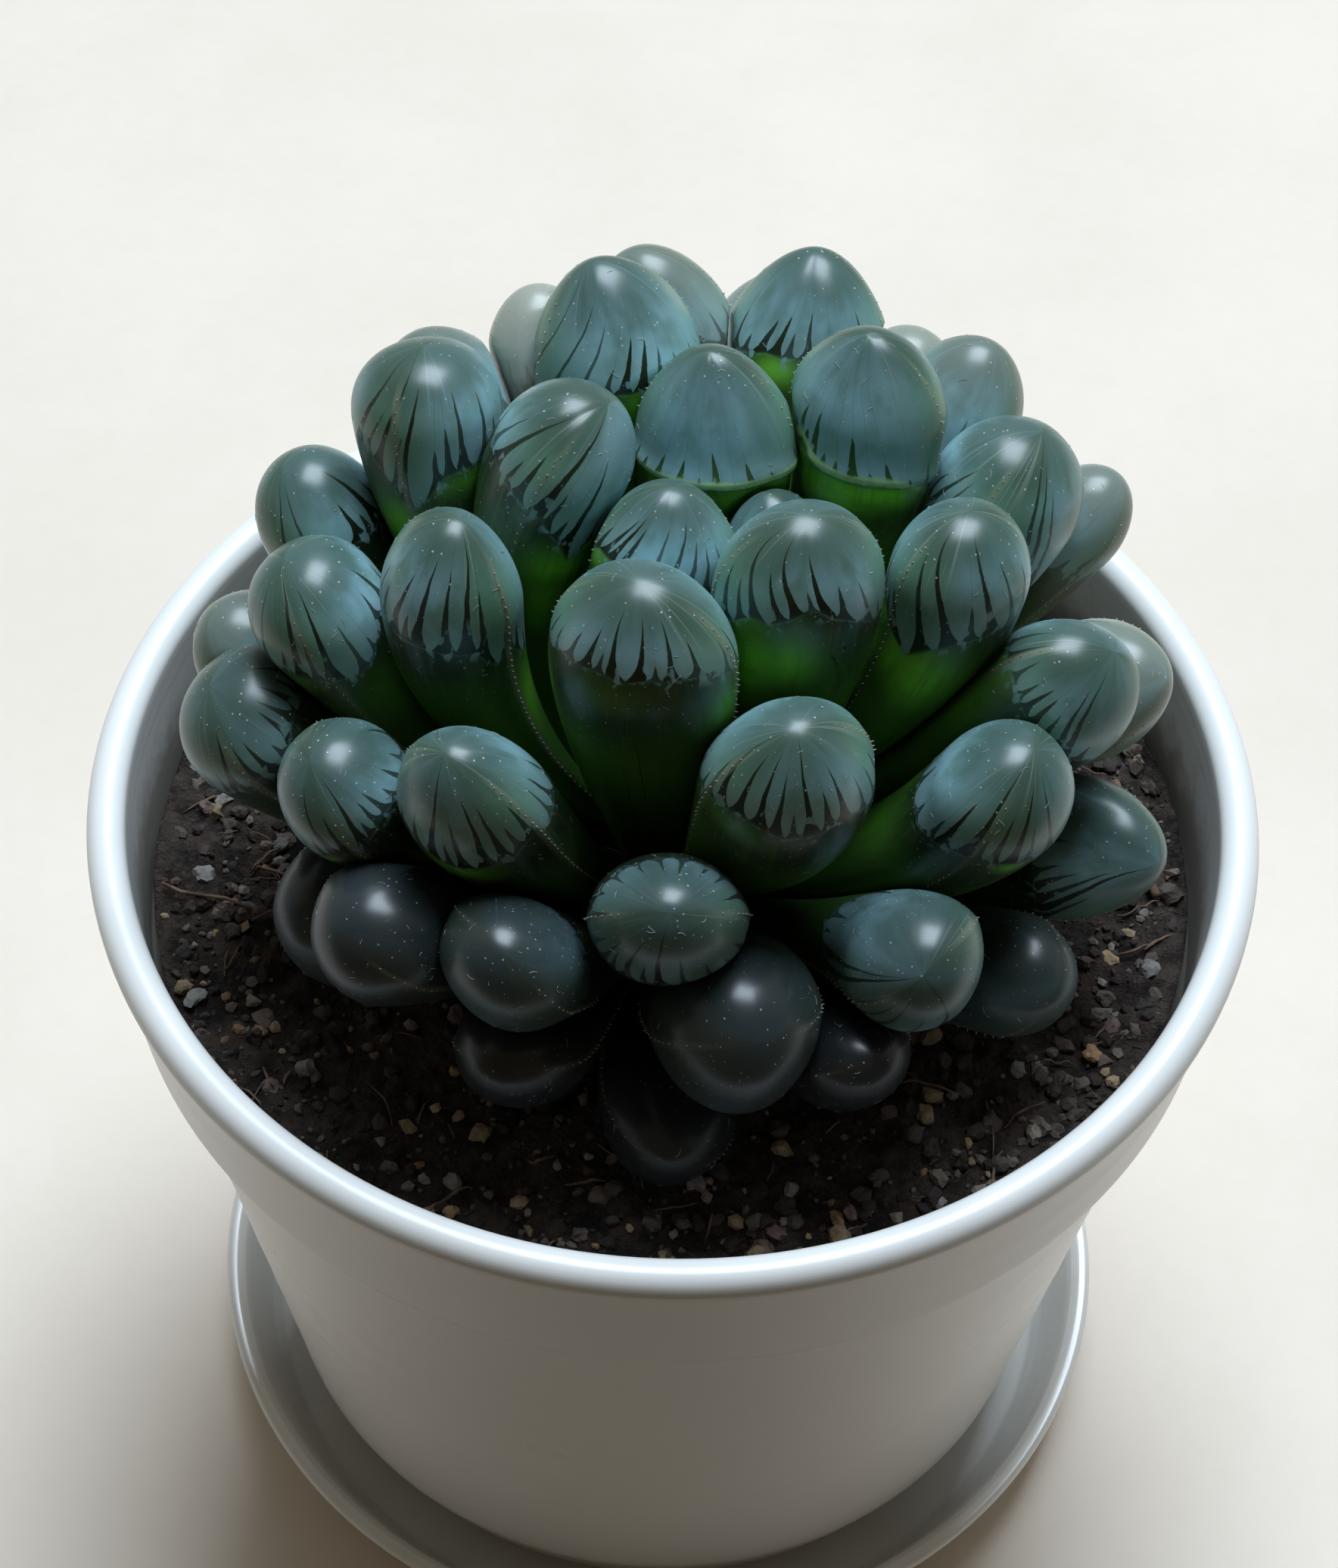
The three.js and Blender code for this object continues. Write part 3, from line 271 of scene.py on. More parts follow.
# ------------------------------------------------------------------ leaves
class Leaf:
    def __init__(self, row):
        self.n, width, self.thick, turn, cap, self.round = row[:6]
        self.half = width / 2
        self.p = np.array(row[6:], float).reshape(4, 3)
        t = np.linspace(0, 1, 401)
        self.t = t
        c = self.curve(t)
        d = np.r_[0, np.cumsum(np.linalg.norm(np.diff(c, axis=0), axis=1))]
        self.length = d[-1]
        self.arc = d / d[-1]
        self.cap = 1 - cap * self.half / self.length
        lean = self.p[3, :2] - 0.4 * self.p[0, :2]
        az = math.atan2(lean[1], lean[0]) + math.radians(turn)
        self.outward = np.array([math.cos(az), math.sin(az), 0.0])
        s = 0.02 + 0.96 * np.arange(26) / 25
        f = self.frame(s)
        self.mid, self.f = f["o"], f
        self.fz = np.minimum(np.minimum(f["a"], f["out"]), np.maximum(0.25, (1 - s) * self.length))

    def curve(self, t):
        t = np.asarray(t)[:, None]
        p = self.p
        return (1 - t) ** 3 * p[0] + 3 * t * (1 - t) ** 2 * p[1] + 3 * t * t * (1 - t) * p[2] + t ** 3 * p[3]

    def tangent(self, t):
        t = np.asarray(t)[:, None]
        p = self.p
        return unit(3 * (1 - t) ** 2 * (p[1] - p[0]) + 6 * t * (1 - t) * (p[2] - p[1]) + 3 * t * t * (p[3] - p[2]))

    def width_at(self, s):
        s = np.asarray(s, float)
        u = np.clip((s - self.cap) / (1 - self.cap), 0, 1)
        v = np.clip((self.cap - s) / self.cap, 0, 1)
        return np.where(s >= self.cap, np.maximum(0, 1 - u ** self.round) ** (1 / self.round),
                        1 - (1 - LEAF_BASE) * v ** LEAF_TAPER)

    def frame(self, s):
        s = np.clip(np.asarray(s, float), 0, 1)
        t = np.interp(s, self.arc, self.t)
        o, al = self.curve(t), self.tangent(t)
        ac = unit(np.cross(al, self.outward))
        ou = unit(np.cross(ac, al))
        flip = np.sign((ou * self.outward).sum(-1, keepdims=True))
        ou = ou * np.where(flip == 0, 1, flip)
        a = np.maximum(1e-4, self.half * self.width_at(s))
        th = LEAF_THICK_BASE + (self.thick - LEAF_THICK_BASE) * smooth(0, self.cap, s)
        return {"o": o, "al": al, "ac": ac, "ou": ou, "a": a, "out": a * th, "in": a * th * LEAF_INNER_FLAT}

    def distance(self, p):
        d = p[:, None, :] - self.mid[None]
        r = np.linalg.norm(d, axis=-1)
        u = (d * self.f["ac"]).sum(-1) / self.f["a"]
        w = (d * self.f["ou"]).sum(-1)
        v = w / np.where(w > 0, self.f["out"], self.f["in"])
        t = (d * self.f["al"]).sum(-1) / self.fz
        m = np.sqrt(u * u + v * v + t * t)
        return np.where(m < 1e-6, -self.f["in"], r * (1 - 1 / np.maximum(m, 1e-6))).min(1)


ROWS = [Leaf(r) for r in LEAVES]


def near(leaf):
    out = []
    for o in ROWS:
        if o is leaf:
            continue
        d = np.linalg.norm(o.mid[:, None] - leaf.mid[None], axis=-1)
        if (d < o.f["a"][:, None] + leaf.f["a"][None] + 0.5).any():
            out.append(o)
    return out


def allowed(leaf, others, a, b):
    """how far each point may go from a towards b before it meets something"""
    k = np.ones(len(a))

    def clear(idx, kk):
        p = a[idx] + (b[idx] - a[idx]) * kk[:, None]
        own = leaf.distance(p)
        ok = np.ones(len(idx), bool)
        for o in others:
            ok &= o.distance(p) - own >= LEAF_GAP
        rad = np.hypot(p[:, 0], p[:, 1])
        ok &= ~((p[:, 2] < STEM_TOP_Z + GAP) & (rad < stem_radius(np.minimum(p[:, 2], STEM_TOP_Z)) + GAP))
        ok &= p[:, 2] > soil_height(p[:, 0], p[:, 1]) + SOIL_CLEAR
        return ok

    bad = np.flatnonzero(~clear(np.arange(len(a)), k))
    lo, hi = np.full(len(bad), 0.04), np.ones(len(bad))
    for _ in range(9):
        mid = 0.5 * (lo + hi)
        ok = clear(bad, mid)
        lo, hi = np.where(ok, mid, lo), np.where(ok, hi, mid)
    k[bad] = lo
    return k


def new_mesh(name, verts, faces, mats=(), mat_index=None, smooth_shade=True):
    me = bpy.data.meshes.new(name)
    verts = np.asarray(verts, np.float32)
    me.vertices.add(len(verts))
    me.vertices.foreach_set("co", verts.ravel())
    if isinstance(faces, np.ndarray):
        n = faces.shape[1]
        loops = faces.astype(np.int32).ravel()
        starts = np.arange(len(faces), dtype=np.int32) * n
    else:
        flat = [i for f in faces for i in f]
        loops = np.array(flat, np.int32)
        lens = np.array([len(f) for f in faces], np.int32)
        starts = np.r_[0, np.cumsum(lens)[:-1]].astype(np.int32)
    me.loops.add(len(loops))
    me.loops.foreach_set("vertex_index", loops)
    me.polygons.add(len(starts))
    me.polygons.foreach_set("loop_start", starts)
    for m in mats:
        me.materials.append(m)
    if mat_index is not None:
        me.polygons.foreach_set("material_index", np.asarray(mat_index, np.int32))
    me.update(calc_edges=True)
    me.validate()
    me.polygons.foreach_set("use_smooth", np.full(len(me.polygons), smooth_shade))
    ob = bpy.data.objects.new(name, me)
    bpy.context.scene.collection.objects.link(ob)
    return ob


def attribute(ob, name, values, domain="POINT"):
    at = ob.data.attributes.new(name, "FLOAT", domain)
    at.data.foreach_set("value", np.asarray(values, np.float32))


def colour_attribute(ob, name, values):
    at = ob.data.attributes.new(name, "FLOAT_COLOR", "POINT")
    rgba = np.ones((len(values), 4), np.float32)
    rgba[:, :3] = values
    at.data.foreach_set("color", rgba.ravel())


def cyclic(points, x, period=360.0):
    """piecewise linear through (angle, value), going round"""
    p = sorted(((a % period), v) for a, v in points)
    a = np.array([q[0] for q in p])
    v = np.array([q[1] for q in p])
    a = np.r_[a[-1] - period, a, a[0] + period]
    v = np.r_[v[-1], v, v[0]]
    return np.interp(np.asarray(x, float) % period, a, v)


class Pattern:
    """veins of one leaf as cells round the leaf, and the line where the window begins"""

    def __init__(self, leaf, count):
        n = leaf.n
        rg = rng_for(n + 300)
        base = 0.72 if SHADE.get(n, 0) > 0.75 else 0.80
        pts = [(a, v) for a, v in STARTS.get(n, [])]
        if pts:
            lo, hi = min(a for a, _ in pts), max(a for a, _ in pts)
            free = lo + 360 - hi
            inner = [hi + free * t for t in np.linspace(0, 1, 8)[1:-1]]
            v0, v1 = pts[-1][1], pts[0][1]
            for i, a in enumerate(inner):
                t = (i + 1) / 7.0
                e = min(1.0, 2.2 * min(t, 1 - t))
                pts.append((a, (v0 * (1 - t) + v1 * t) * (1 - e) + e * (base + rg.uniform(-0.02, 0.02))))
        else:
            pts = [(a, base + rg.uniform(-0.03, 0.03)) for a in np.arange(0, 360, 24.0)]
        self.starts = pts
        seen = sorted(VEINS.get(n, []))
        veins = [(f, t, top, st, 0) for f, t, top, st in seen]
        a0 = (seen[-1][0] + 15) if seen else rg.uniform(0, 20)
        a1 = (seen[0][0] + 360 - 15) if seen else a0 + 340
        m = max(1, int(round((a1 - a0) / 21.0)))
        for i in range(m + 1):
            f = a0 + (a1 - a0) * i / m + rg.uniform(-4, 4)
            s0 = float(cyclic(pts, f))
            veins.append((f, f + rg.uniform(-3, 3), min(0.94, s0 + 0.03 + 0.06 * rg.uniform() ** 1.5), rg.uniform(0.35, 0.7), 1))
        veins.sort(key=lambda q: q[0])
        self.foot = np.array([q[0] for q in veins])
        self.top = np.array([q[2] for q in veins])
        self.strength = np.array([q[3] for q in veins])
        s0 = cyclic(pts, self.foot)
        self.s0 = s0
        slope = np.array([(q[1] - q[0]) for q in veins]) / np.maximum(0.05, self.top - s0)
        slope = np.clip(slope, -420, 420)
        nxt = np.r_[self.foot[1:], self.foot[0] + 360]
        # neighbours keep their order up to the tip
        full = self.shear(1.0) - self.shear(s0)
        end = self.foot + slope * full
        for _ in range(600):
            need = 0.45 * (nxt - self.foot) - (np.r_[end[1:], end[0] + 360] - end)
            if need.max() <= 0:
                break
            push = 0.5 * np.maximum(need, 0)
            end = end - push + np.roll(push, 1)
        self.slope = (end - self.foot) / full
        self.right = 0.5 * (self.foot + nxt)          # right edge of each cell
        self.left = np.r_[self.right[-1] - 360, self.right[:-1]]
        # columns
        cols, cell = [], []
        for i in range(len(veins)):
            w = self.right[i] - self.left[i]
            k = max(3, int(round(w / 360.0 * count)))
            for q in range(k):
                cols.append(self.left[i] + w * q / k)
                cell.append(i)
        self.cols = np.array(cols)
        self.cell = np.array(cell)
        self.na = len(cols)

    def shear(self, s):
        """integral of the window function, by which veins lean"""
        g = np.linspace(0, 1, 401)
        w = smooth(0.64, 0.74, g) * (1 - smooth(0.955, 0.998, g))
        c = np.r_[0, np.cumsum(0.5 * (w[1:] + w[:-1]) * (g[1] - g[0]))]
        return np.interp(s, g, c)

    def angles(self, s):
        """angle about the leaf of every column at each station"""
        sl = cyclic(list(zip(self.foot, self.slope)), self.cols)
        st = cyclic(self.starts, self.cols)
        return np.radians(self.cols[None] + sl[None] * (self.shear(s)[:, None] - self.shear(st)[None]))


def leaf_shape(leaf, s, th):
    """how far the surface departs from the plain swollen form (1 is none)"""
    rg = rng_for(leaf.n)
    tip = smooth(leaf.cap - 0.12, 1.0, s)[:, None]
    body = smooth(0.2, leaf.cap, s)[:, None]
    p1, p2, p3, p4 = rg.uniform(0, 2 * np.pi, 4)
    shape = 1 + body * (0.016 * np.cos(2 * th + p1) + 0.014 * np.cos(3 * th + p2)) * (1 - 0.6 * smooth(0.93, 1, s))[:, None]
    for m in (0.0, np.pi):
        dth = np.abs((th - m + np.pi) % (2 * np.pi) - np.pi)
        shape = shape + 0.026 * np.exp(-(dth / 0.19) ** 2) * (smooth(0.06, 0.2, s) * (1 - smooth(0.88, 0.99, s)))[:, None]
    for r in range(3):
        c0, w0, d0 = rg.uniform(0, 2 * np.pi), rg.uniform(0.18, 0.34), rg.uniform(0.006, 0.016)
        dth = np.abs((th - c0 + np.pi) % (2 * np.pi) - np.pi)
        shape = shape + d0 * np.exp(-(dth / w0) ** 2) * tip
    for deg, depth, width in CREASES.get(leaf.n, []):
        dth = np.abs((np.degrees(th) - deg + 180) % 360 - 180)
        win = smooth(leaf.cap + 0.03, leaf.cap + 0.17, s) * (1 - 0.3 * smooth(0.985, 1.0, s))
        shape = shape - depth * np.exp(-(dth / width) ** 2) * win[:, None]
    if leaf.n in LIPS:
        lo, hi, at, depth = LIPS[leaf.n]
        mid, half = 0.5 * (lo + hi), 0.5 * (hi - lo)
        dth = np.abs((np.degrees(th) - mid + 180) % 360 - 180)
        across = smooth(half + 14, half - 10, dth)
        s2 = s[:, None]
        shape = shape - depth * across * smooth(at + 0.002, at - 0.016, s2) * (1 - 0.55 * smooth(at - 0.05, at - 0.26, s2))
        shape = shape + 0.035 * across * np.exp(-((s2 - at - 0.014) / 0.016) ** 2)
        # the flat face above the lip
        shape = shape - 0.05 * smooth(half - 20, half - 60, dth) * smooth(at, at + 0.08, s2) * (1 - smooth(0.9, 0.99, s2))
    q = 1.3 * np.cos(th), 1.3 * np.sin(th), (s * 9.0)[:, None]
    lump = (np.sin(2.1 * q[0] + 1.7 * q[2] * 0.6 + p3) * np.cos(1.9 * q[1] - 0.8 * q[2] * 0.6 + p4)
            + 0.5 * np.sin(3.7 * q[1] + 1.1 * q[2] + p1) * np.cos(3.1 * q[0] + p2))
    return shape + 0.008 * lump * body


def leaf_surface(leaf, pat, nb, nc):
    """grid of points, one row per station, plus the factor by which each was pressed in"""
    s = np.r_[np.linspace(0, 0.45, nb // 4, endpoint=False), np.linspace(0.45, leaf.cap, nb - nb // 4, endpoint=False),
              leaf.cap + (1 - leaf.cap) * np.sin(np.linspace(0, np.pi / 2, nc + 1)[:-1])]
    if leaf.n in LIPS:
        at = LIPS[leaf.n][2]
        s = np.sort(np.r_[s, at + np.array([-0.018, -0.014, -0.010, -0.006, -0.002, 0.002, 0.006, 0.010, 0.016, 0.024])])
    th = pat.angles(s)
    ca = 30
    s_c = np.r_[np.linspace(0, leaf.cap, 28, endpoint=False),
                leaf.cap + (1 - leaf.cap) * np.sin(np.linspace(0, np.pi / 2, 13)[:-1])]
    th_c = np.linspace(0, 2 * np.pi, ca, endpoint=False)
    f = leaf.frame(s_c)
    C, D = np.cos(th_c), np.sin(th_c)
    full = (f["o"][:, None] + f["a"][:, None, None] * C[None, :, None] * f["ac"][:, None]
            + np.where(D > 0, f["out"][:, None], f["in"][:, None])[..., None] * D[None, :, None] * f["ou"][:, None])
    base = np.repeat(f["o"][:, None], ca, 1)
    k = allowed(leaf, near(leaf), base.reshape(-1, 3), full.reshape(-1, 3)).reshape(len(s_c), ca)
    for _ in range(2):
        k = np.minimum(k, 0.5 * k + 0.25 * (np.roll(k, 1, 1) + np.roll(k, -1, 1)))
    kk = np.c_[k, k[:, :1]]

    def press(ss, tt):
        fi = np.interp(ss, s_c, np.arange(len(s_c)))
        fj = (tt % (2 * np.pi)) / (2 * np.pi) * ca
        fi = np.broadcast_to(fi[:, None], tt.shape)
        i0 = np.clip(fi.astype(int), 0, len(s_c) - 2)
        j0 = np.clip(fj.astype(int), 0, ca - 1)
        u, v = fi - i0, fj - j0
        return ((1 - u) * (1 - v) * kk[i0, j0] + (1 - u) * v * kk[i0, j0 + 1]
                + u * (1 - v) * kk[i0 + 1, j0] + u * v * kk[i0 + 1, j0 + 1])

    def place(ss, tt):
        K = press(ss, tt)
        f = leaf.frame(ss)
        C, D = np.cos(tt), np.sin(tt)
        shape = leaf_shape(leaf, ss, tt)
        free = smooth(0.90, 1.0, K)
        scale = K * (1 + (shape - 1) * np.where(shape < 1, np.maximum(free, 0.25), free))
        p = (f["o"][:, None] + scale[..., None] * (f["a"][:, None, None] * C[..., None] * f["ac"][:, None]
             + np.where(D > 0, f["out"][:, None], f["in"][:, None])[..., None] * D[..., None] * f["ou"][:, None]))
        return p, K, f

    pos, K, f = place(s, th)
    return s, th, pos, K, f, place


def gauss_round(th_deg, at, half):
    d = np.abs((th_deg - at + 180) % 360 - 180)
    return np.exp(-(d / half) ** 2)


def build_leaf(leaf, mat_leaf, mat_teeth):
    n = leaf.n
    count, nb, nc = (60, 34, 22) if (n > 41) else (80, 42, 36)
    pat = Pattern(leaf, count)
    s, th, pos, K, f, place = leaf_surface(leaf, pat, nb, nc)
    ns, na = th.shape
    verts = np.vstack([leaf.frame([0.0])["o"], pos.reshape(-1, 3), leaf.p[3][None]])
    i, j = np.meshgrid(np.arange(ns - 1), np.arange(na), indexing="ij")
    a = 1 + i * na + j
    b = 1 + i * na + (j + 1) % na
    quads = np.stack([a, b, b + na, a + na], -1).reshape(-1, 4)
    qcell = np.broadcast_to(pat.cell[None], (ns - 1, na)).reshape(-1)
    # angle from the vein's middle line at the four corners, running on across the seam
    deg = np.degrees(th)
    nxt = np.c_[deg[:, 1:], deg[:, :1] + 360]
    mid_line = (pat.foot[None] + pat.slope[None] * (pat.shear(s)[:, None] - pat.shear(pat.s0)[None]))[:, pat.cell]
    xl, xr = deg - mid_line, nxt - mid_line
    qu = np.stack([xl[:-1], xr[:-1], xr[1:], xl[1:]], -1).reshape(-1, 4)
    jj = np.arange(na)
    last = 1 + (ns - 1) * na
    cap0 = np.c_[np.zeros(na, int), 1 + (jj + 1) % na, 1 + jj]
    cap1 = np.c_[np.full(na, len(verts) - 1), last + jj, last + (jj + 1) % na]
    u0 = np.c_[0.5 * (xl[0] + xr[0]), xr[0], xl[0]]
    u1 = np.c_[0.5 * (xl[-1] + xr[-1]), xl[-1], xr[-1]]
    c = pos.mean(1)
    v0, v1, v2 = verts[quads[:, 0]], verts[quads[:, 1]], verts[quads[:, 2]]
    nrm = np.cross(v1 - v0, v2 - v1)
    mid = (v0 + v2) / 2 - np.repeat(0.5 * (c[:-1] + c[1:]), na, 0)
    if (nrm * mid).sum(1).mean() < 0:
        quads, cap0, cap1 = quads[:, ::-1], cap0[:, ::-1], cap1[:, ::-1]
        qu, u0, u1 = qu[:, ::-1], u0[:, ::-1], u1[:, ::-1]
    allfaces = [tuple(q) for q in quads] + [tuple(q) for q in cap0] + [tuple(q) for q in cap1]
    loop_u = np.concatenate([qu.reshape(-1), u0.reshape(-1), u1.reshape(-1)])
    loop_cell = np.concatenate([np.repeat(qcell, 4), np.repeat(pat.cell, 3), np.repeat(pat.cell, 3)])
    mat_index = [0] * len(allfaces)
    # how far the skin faces up
    dj = np.roll(pos, -1, 1) - np.roll(pos, 1, 1)
    di = np.gradient(pos, axis=0)
    nz = unit(np.cross(dj, di))
    if (nz * (pos - c[:, None])).sum() < 0:
        nz = -nz
    up = np.r_[0, nz[..., 2].ravel(), nz[-1, :, 2].mean()]
    lip = np.zeros((ns, na))
    if n in LIPS:
        lo, hi = LIPS[n][:2]
        d = np.abs((deg - 0.5 * (lo + hi) + 180) % 360 - 180)
        lip = smooth(0.5 * (hi - lo) + 6, 0.5 * (hi - lo) - 12, d)
    lip = np.r_[0, lip.ravel(), 0]
    S = np.r_[0, np.repeat(s, na), 1.0]
    cx = np.r_[0, np.cos(th).ravel(), 0]
    sx = np.r_[0, np.sin(th).ravel(), 0]
    press = np.r_[1, K.ravel(), 1]
    start = np.r_[0.8, cyclic(pat.starts, deg.ravel()), 0.8]
    glow = np.zeros((ns, na))
    for at, sl, dh, ds, g in GLOWS.get(n, []):
        glow = np.maximum(glow, g * gauss_round(deg, at, dh) * np.exp(-((s[:, None] - sl) / ds) ** 2))
    # painted glow: light also comes through low down, where leaves stand apart
    glow = np.maximum(glow, 0.14 * smooth(0.05, 0.3, s)[:, None] * (1 - smooth(0.55, 0.75, s))[:, None] + 0 * th)
    glow = np.r_[0, glow.ravel(), 0]
    # teeth on both margins
    rg = rng_for(n + 500)
    xs = [[], []]
    for m in (0, 1):
        x = 0.14 * leaf.length
        while x < 0.95 * leaf.length:
            xs[m].append(x / leaf.length)
            x += rg.uniform(0.55, 1.0)
    tv, tf = [], []
    nv = len(verts)
    for m in (0, 1):
        ss = np.array(xs[m])
        p, kt, ft = place(ss, np.full((len(ss), 1), m * np.pi))
        for q in range(len(ss)):
            if kt[q, 0] < 0.985:
                continue
            pt = p[q, 0]
            out = unit(pt - ft["o"][q])
            al = ft["al"][q]
            h = rg.uniform(0.14, 0.30) * (1 - 0.6 * smooth(0.80, 0.95, ss[q]))
            wb = 0.085
            d = unit(out + al * rg.uniform(0.1, 0.5))
            t1 = unit(np.cross(out, al))
            pt = pt - out * 0.06
            base = nv + len(tv)
            tv += [pt + al * wb * 1.3, pt + t1 * wb, pt - al * wb * 1.3, pt - t1 * wb, pt + d * (h + 0.06)]
            for e in range(4):
                tf.append((base + e, base + (e + 1) % 4, base + 4))
            tf.append((base + 3, base + 2, base + 1, base))
    if n in LIPS:
        lo, hi, at, depth = LIPS[n]
        ss = np.full(1, at + 0.006)
        x = lo + 8
        while x < hi - 4:
            p, kt, ft = place(ss, np.full((1, 1), math.radians(x)))
            x += rg.uniform(4.5, 8.5)
            if kt[0, 0] < 0.97:
                continue
            pt = p[0, 0]
            out = unit(pt - ft["o"][0])
            al = ft["al"][0]
            t1 = unit(np.cross(out, al))
            d = unit(out * 0.5 - al)
            pt = pt - out * 0.05
            base = nv + len(tv)
            wb = 0.07
            tv += [pt + al * wb, pt + t1 * wb, pt - al * wb, pt - t1 * wb, pt + d * rg.uniform(0.16, 0.28)]
            for e in range(4):
                tf.append((base + e, base + (e + 1) % 4, base + 4))
            tf.append((base + 3, base + 2, base + 1, base))
    if tv:
        verts = np.vstack([verts, np.array(tv)])
        allfaces += tf
        mat_index += [1] * len(tf)
        m = len(tv)
        S, cx, sx, press, start, glow, up, lip = (
            np.r_[x_, np.full(m, v_)] for x_, v_ in
            ((S, 0.9), (cx, 0.5), (sx, 0.0), (press, 1.0), (start, 0.8), (glow, 0.0), (up, 0.0), (lip, 0.0)))
        extra = sum(len(q) for q in tf)
        loop_u = np.r_[loop_u, np.zeros(extra)]
        loop_cell = np.r_[loop_cell, np.zeros(extra, int)]
    verts[:, 2] = np.minimum(verts[:, 2], TOP_Z)
    ob = new_mesh("skin_%02d" % n, verts * MM, allfaces, [mat_leaf, mat_teeth], mat_index)
    assert len(ob.data.loops) == len(loop_u)
    attribute(ob, "along", S)
    attribute(ob, "cx", cx)
    attribute(ob, "sx", sx)
    attribute(ob, "up", up)
    attribute(ob, "lip", lip)
    attribute(ob, "start", start)
    attribute(ob, "glow", glow)
    m = len(verts)
    attribute(ob, "seed", np.full(m, n * 1.37 + 3.1))
    # painted shade over the whole leaf
    attribute(ob, "shade", np.full(m, SHADE.get(n, 0.0)))
    attribute(ob, "pale", np.full(m, PALE.get(n, 0.0)))
    # painted shade on the green body
    attribute(ob, "dark", np.full(m, PAINTED_BODY_SHADE.get(n, 0.45 if n > 41 else 0.25)))
    attribute(ob, "edge", np.full(m, MARGIN.get(n, 0.3)))
    # distance from the vein's middle line in mm where the leaf is broadest
    mm_per_deg = math.radians(1.0) * leaf.half * 0.5 * (1 + leaf.thick)
    dist = loop_u * mm_per_deg
    wid = np.minimum(0.5 * (pat.right - pat.left), 10.5) * mm_per_deg
    attribute(ob, "vein_x", dist, "CORNER")
    attribute(ob, "vein_top", pat.top[loop_cell], "CORNER")
    attribute(ob, "vein_foot", wid[loop_cell], "CORNER")
    attribute(ob, "vein_str", pat.strength[loop_cell], "CORNER")
    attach(ob, "root")
    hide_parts("leaf_%02d" % n)
    return ob, (s, th, pos, K)


# ------------------------------------------------------------------ node helper
class Nodes:
    def __init__(self, name):
        self.mat = bpy.data.materials.new(name)
        self.mat.use_nodes = True
        self.t = self.mat.node_tree
        self.t.nodes.clear()
        self.out = self.t.nodes.new("ShaderNodeOutputMaterial")
        self.bsdf = self.t.nodes.new("ShaderNodeBsdfPrincipled")
        self.t.links.new(self.bsdf.outputs[0], self.out.inputs[0])

    def _in(self, node, i, v):
        if v is None:
            return
        sock = node.inputs[i]
        if isinstance(v, (int, float)):
            sock.default_value = v
        elif isinstance(v, (tuple, list)):
            if sock.type == "RGBA" and len(v) == 3:
                v = (*v, 1)
            sock.default_value = v
        else:
            self.t.links.new(v, sock)

    def attr(self, name, colour=False):
        n = self.t.nodes.new("ShaderNodeAttribute")
        n.attribute_name = name
        return n.outputs["Color" if colour else "Fac"]

    def math(self, op, a, b=None, c=None, clamp=False):
        n = self.t.nodes.new("ShaderNodeMath")
        n.operation = op
        n.use_clamp = clamp
        for i, v in enumerate((a, b, c)):
            self._in(n, i, v)
        return n.outputs[0]

    def ramp(self, x, lo, hi, a=0.0, b=1.0, kind="SMOOTHSTEP"):
        n = self.t.nodes.new("ShaderNodeMapRange")
        n.interpolation_type = kind
        for i, v in enumerate((x, lo, hi, a, b)):
            self._in(n, i, v)
        return n.outputs[0]

    def mix(self, f, a, b, blend="MIX"):
        n = self.t.nodes.new("ShaderNodeMix")
        n.data_type = "RGBA"
        n.blend_type = blend
        self._in(n, 0, f)
        self._in(n, 6, a)
        self._in(n, 7, b)
        return n.outputs[2]

    def xyz(self, x, y, z):
        n = self.t.nodes.new("ShaderNodeCombineXYZ")
        for i, v in enumerate((x, y, z)):
            self._in(n, i, v)
        return n.outputs[0]

    def white(self, v):
        n = self.t.nodes.new("ShaderNodeTexWhiteNoise")
        n.noise_dimensions = "3D"
        self._in(n, 0, v)
        return n

    def noise(self, v, scale, detail=2.0, rough=0.5):
        n = self.t.nodes.new("ShaderNodeTexNoise")
        self._in(n, 0, v)
        n.inputs["Scale"].default_value = scale
        n.inputs["Detail"].default_value = detail
        n.inputs["Roughness"].default_value = rough
        return n.outputs["Fac"]

    def obj(self):
        return self.t.nodes.new("ShaderNodeTexCoord").outputs["Object"]

    def sep(self, v):
        n = self.t.nodes.new("ShaderNodeSeparateXYZ")
        self._in(n, 0, v)
        return n.outputs

    def sepc(self, v):
        n = self.t.nodes.new("ShaderNodeSeparateColor")
        self._in(n, 0, v)
        return n.outputs

    def bump(self, h, strength, dist):
        n = self.t.nodes.new("ShaderNodeBump")
        n.inputs["Strength"].default_value = strength
        n.inputs["Distance"].default_value = dist
        self._in(n, "Height", h)
        self.t.links.new(n.outputs[0], self.bsdf.inputs["Normal"])
        return n

    def set(self, **kw):
        names = {"colour": "Base Color", "rough": "Roughness", "spec": "Specular IOR Level", "coat": "Coat Weight",
                 "coat_rough": "Coat Roughness", "coat_ior": "Coat IOR", "sss": "Subsurface Weight", "sss_scale": "Subsurface Scale",
                 "sss_radius": "Subsurface Radius", "ior": "IOR", "trans": "Transmission Weight", "sheen": "Sheen Weight"}
        for k, v in kw.items():
            self._in(self.bsdf, names[k], v)
        return self.mat


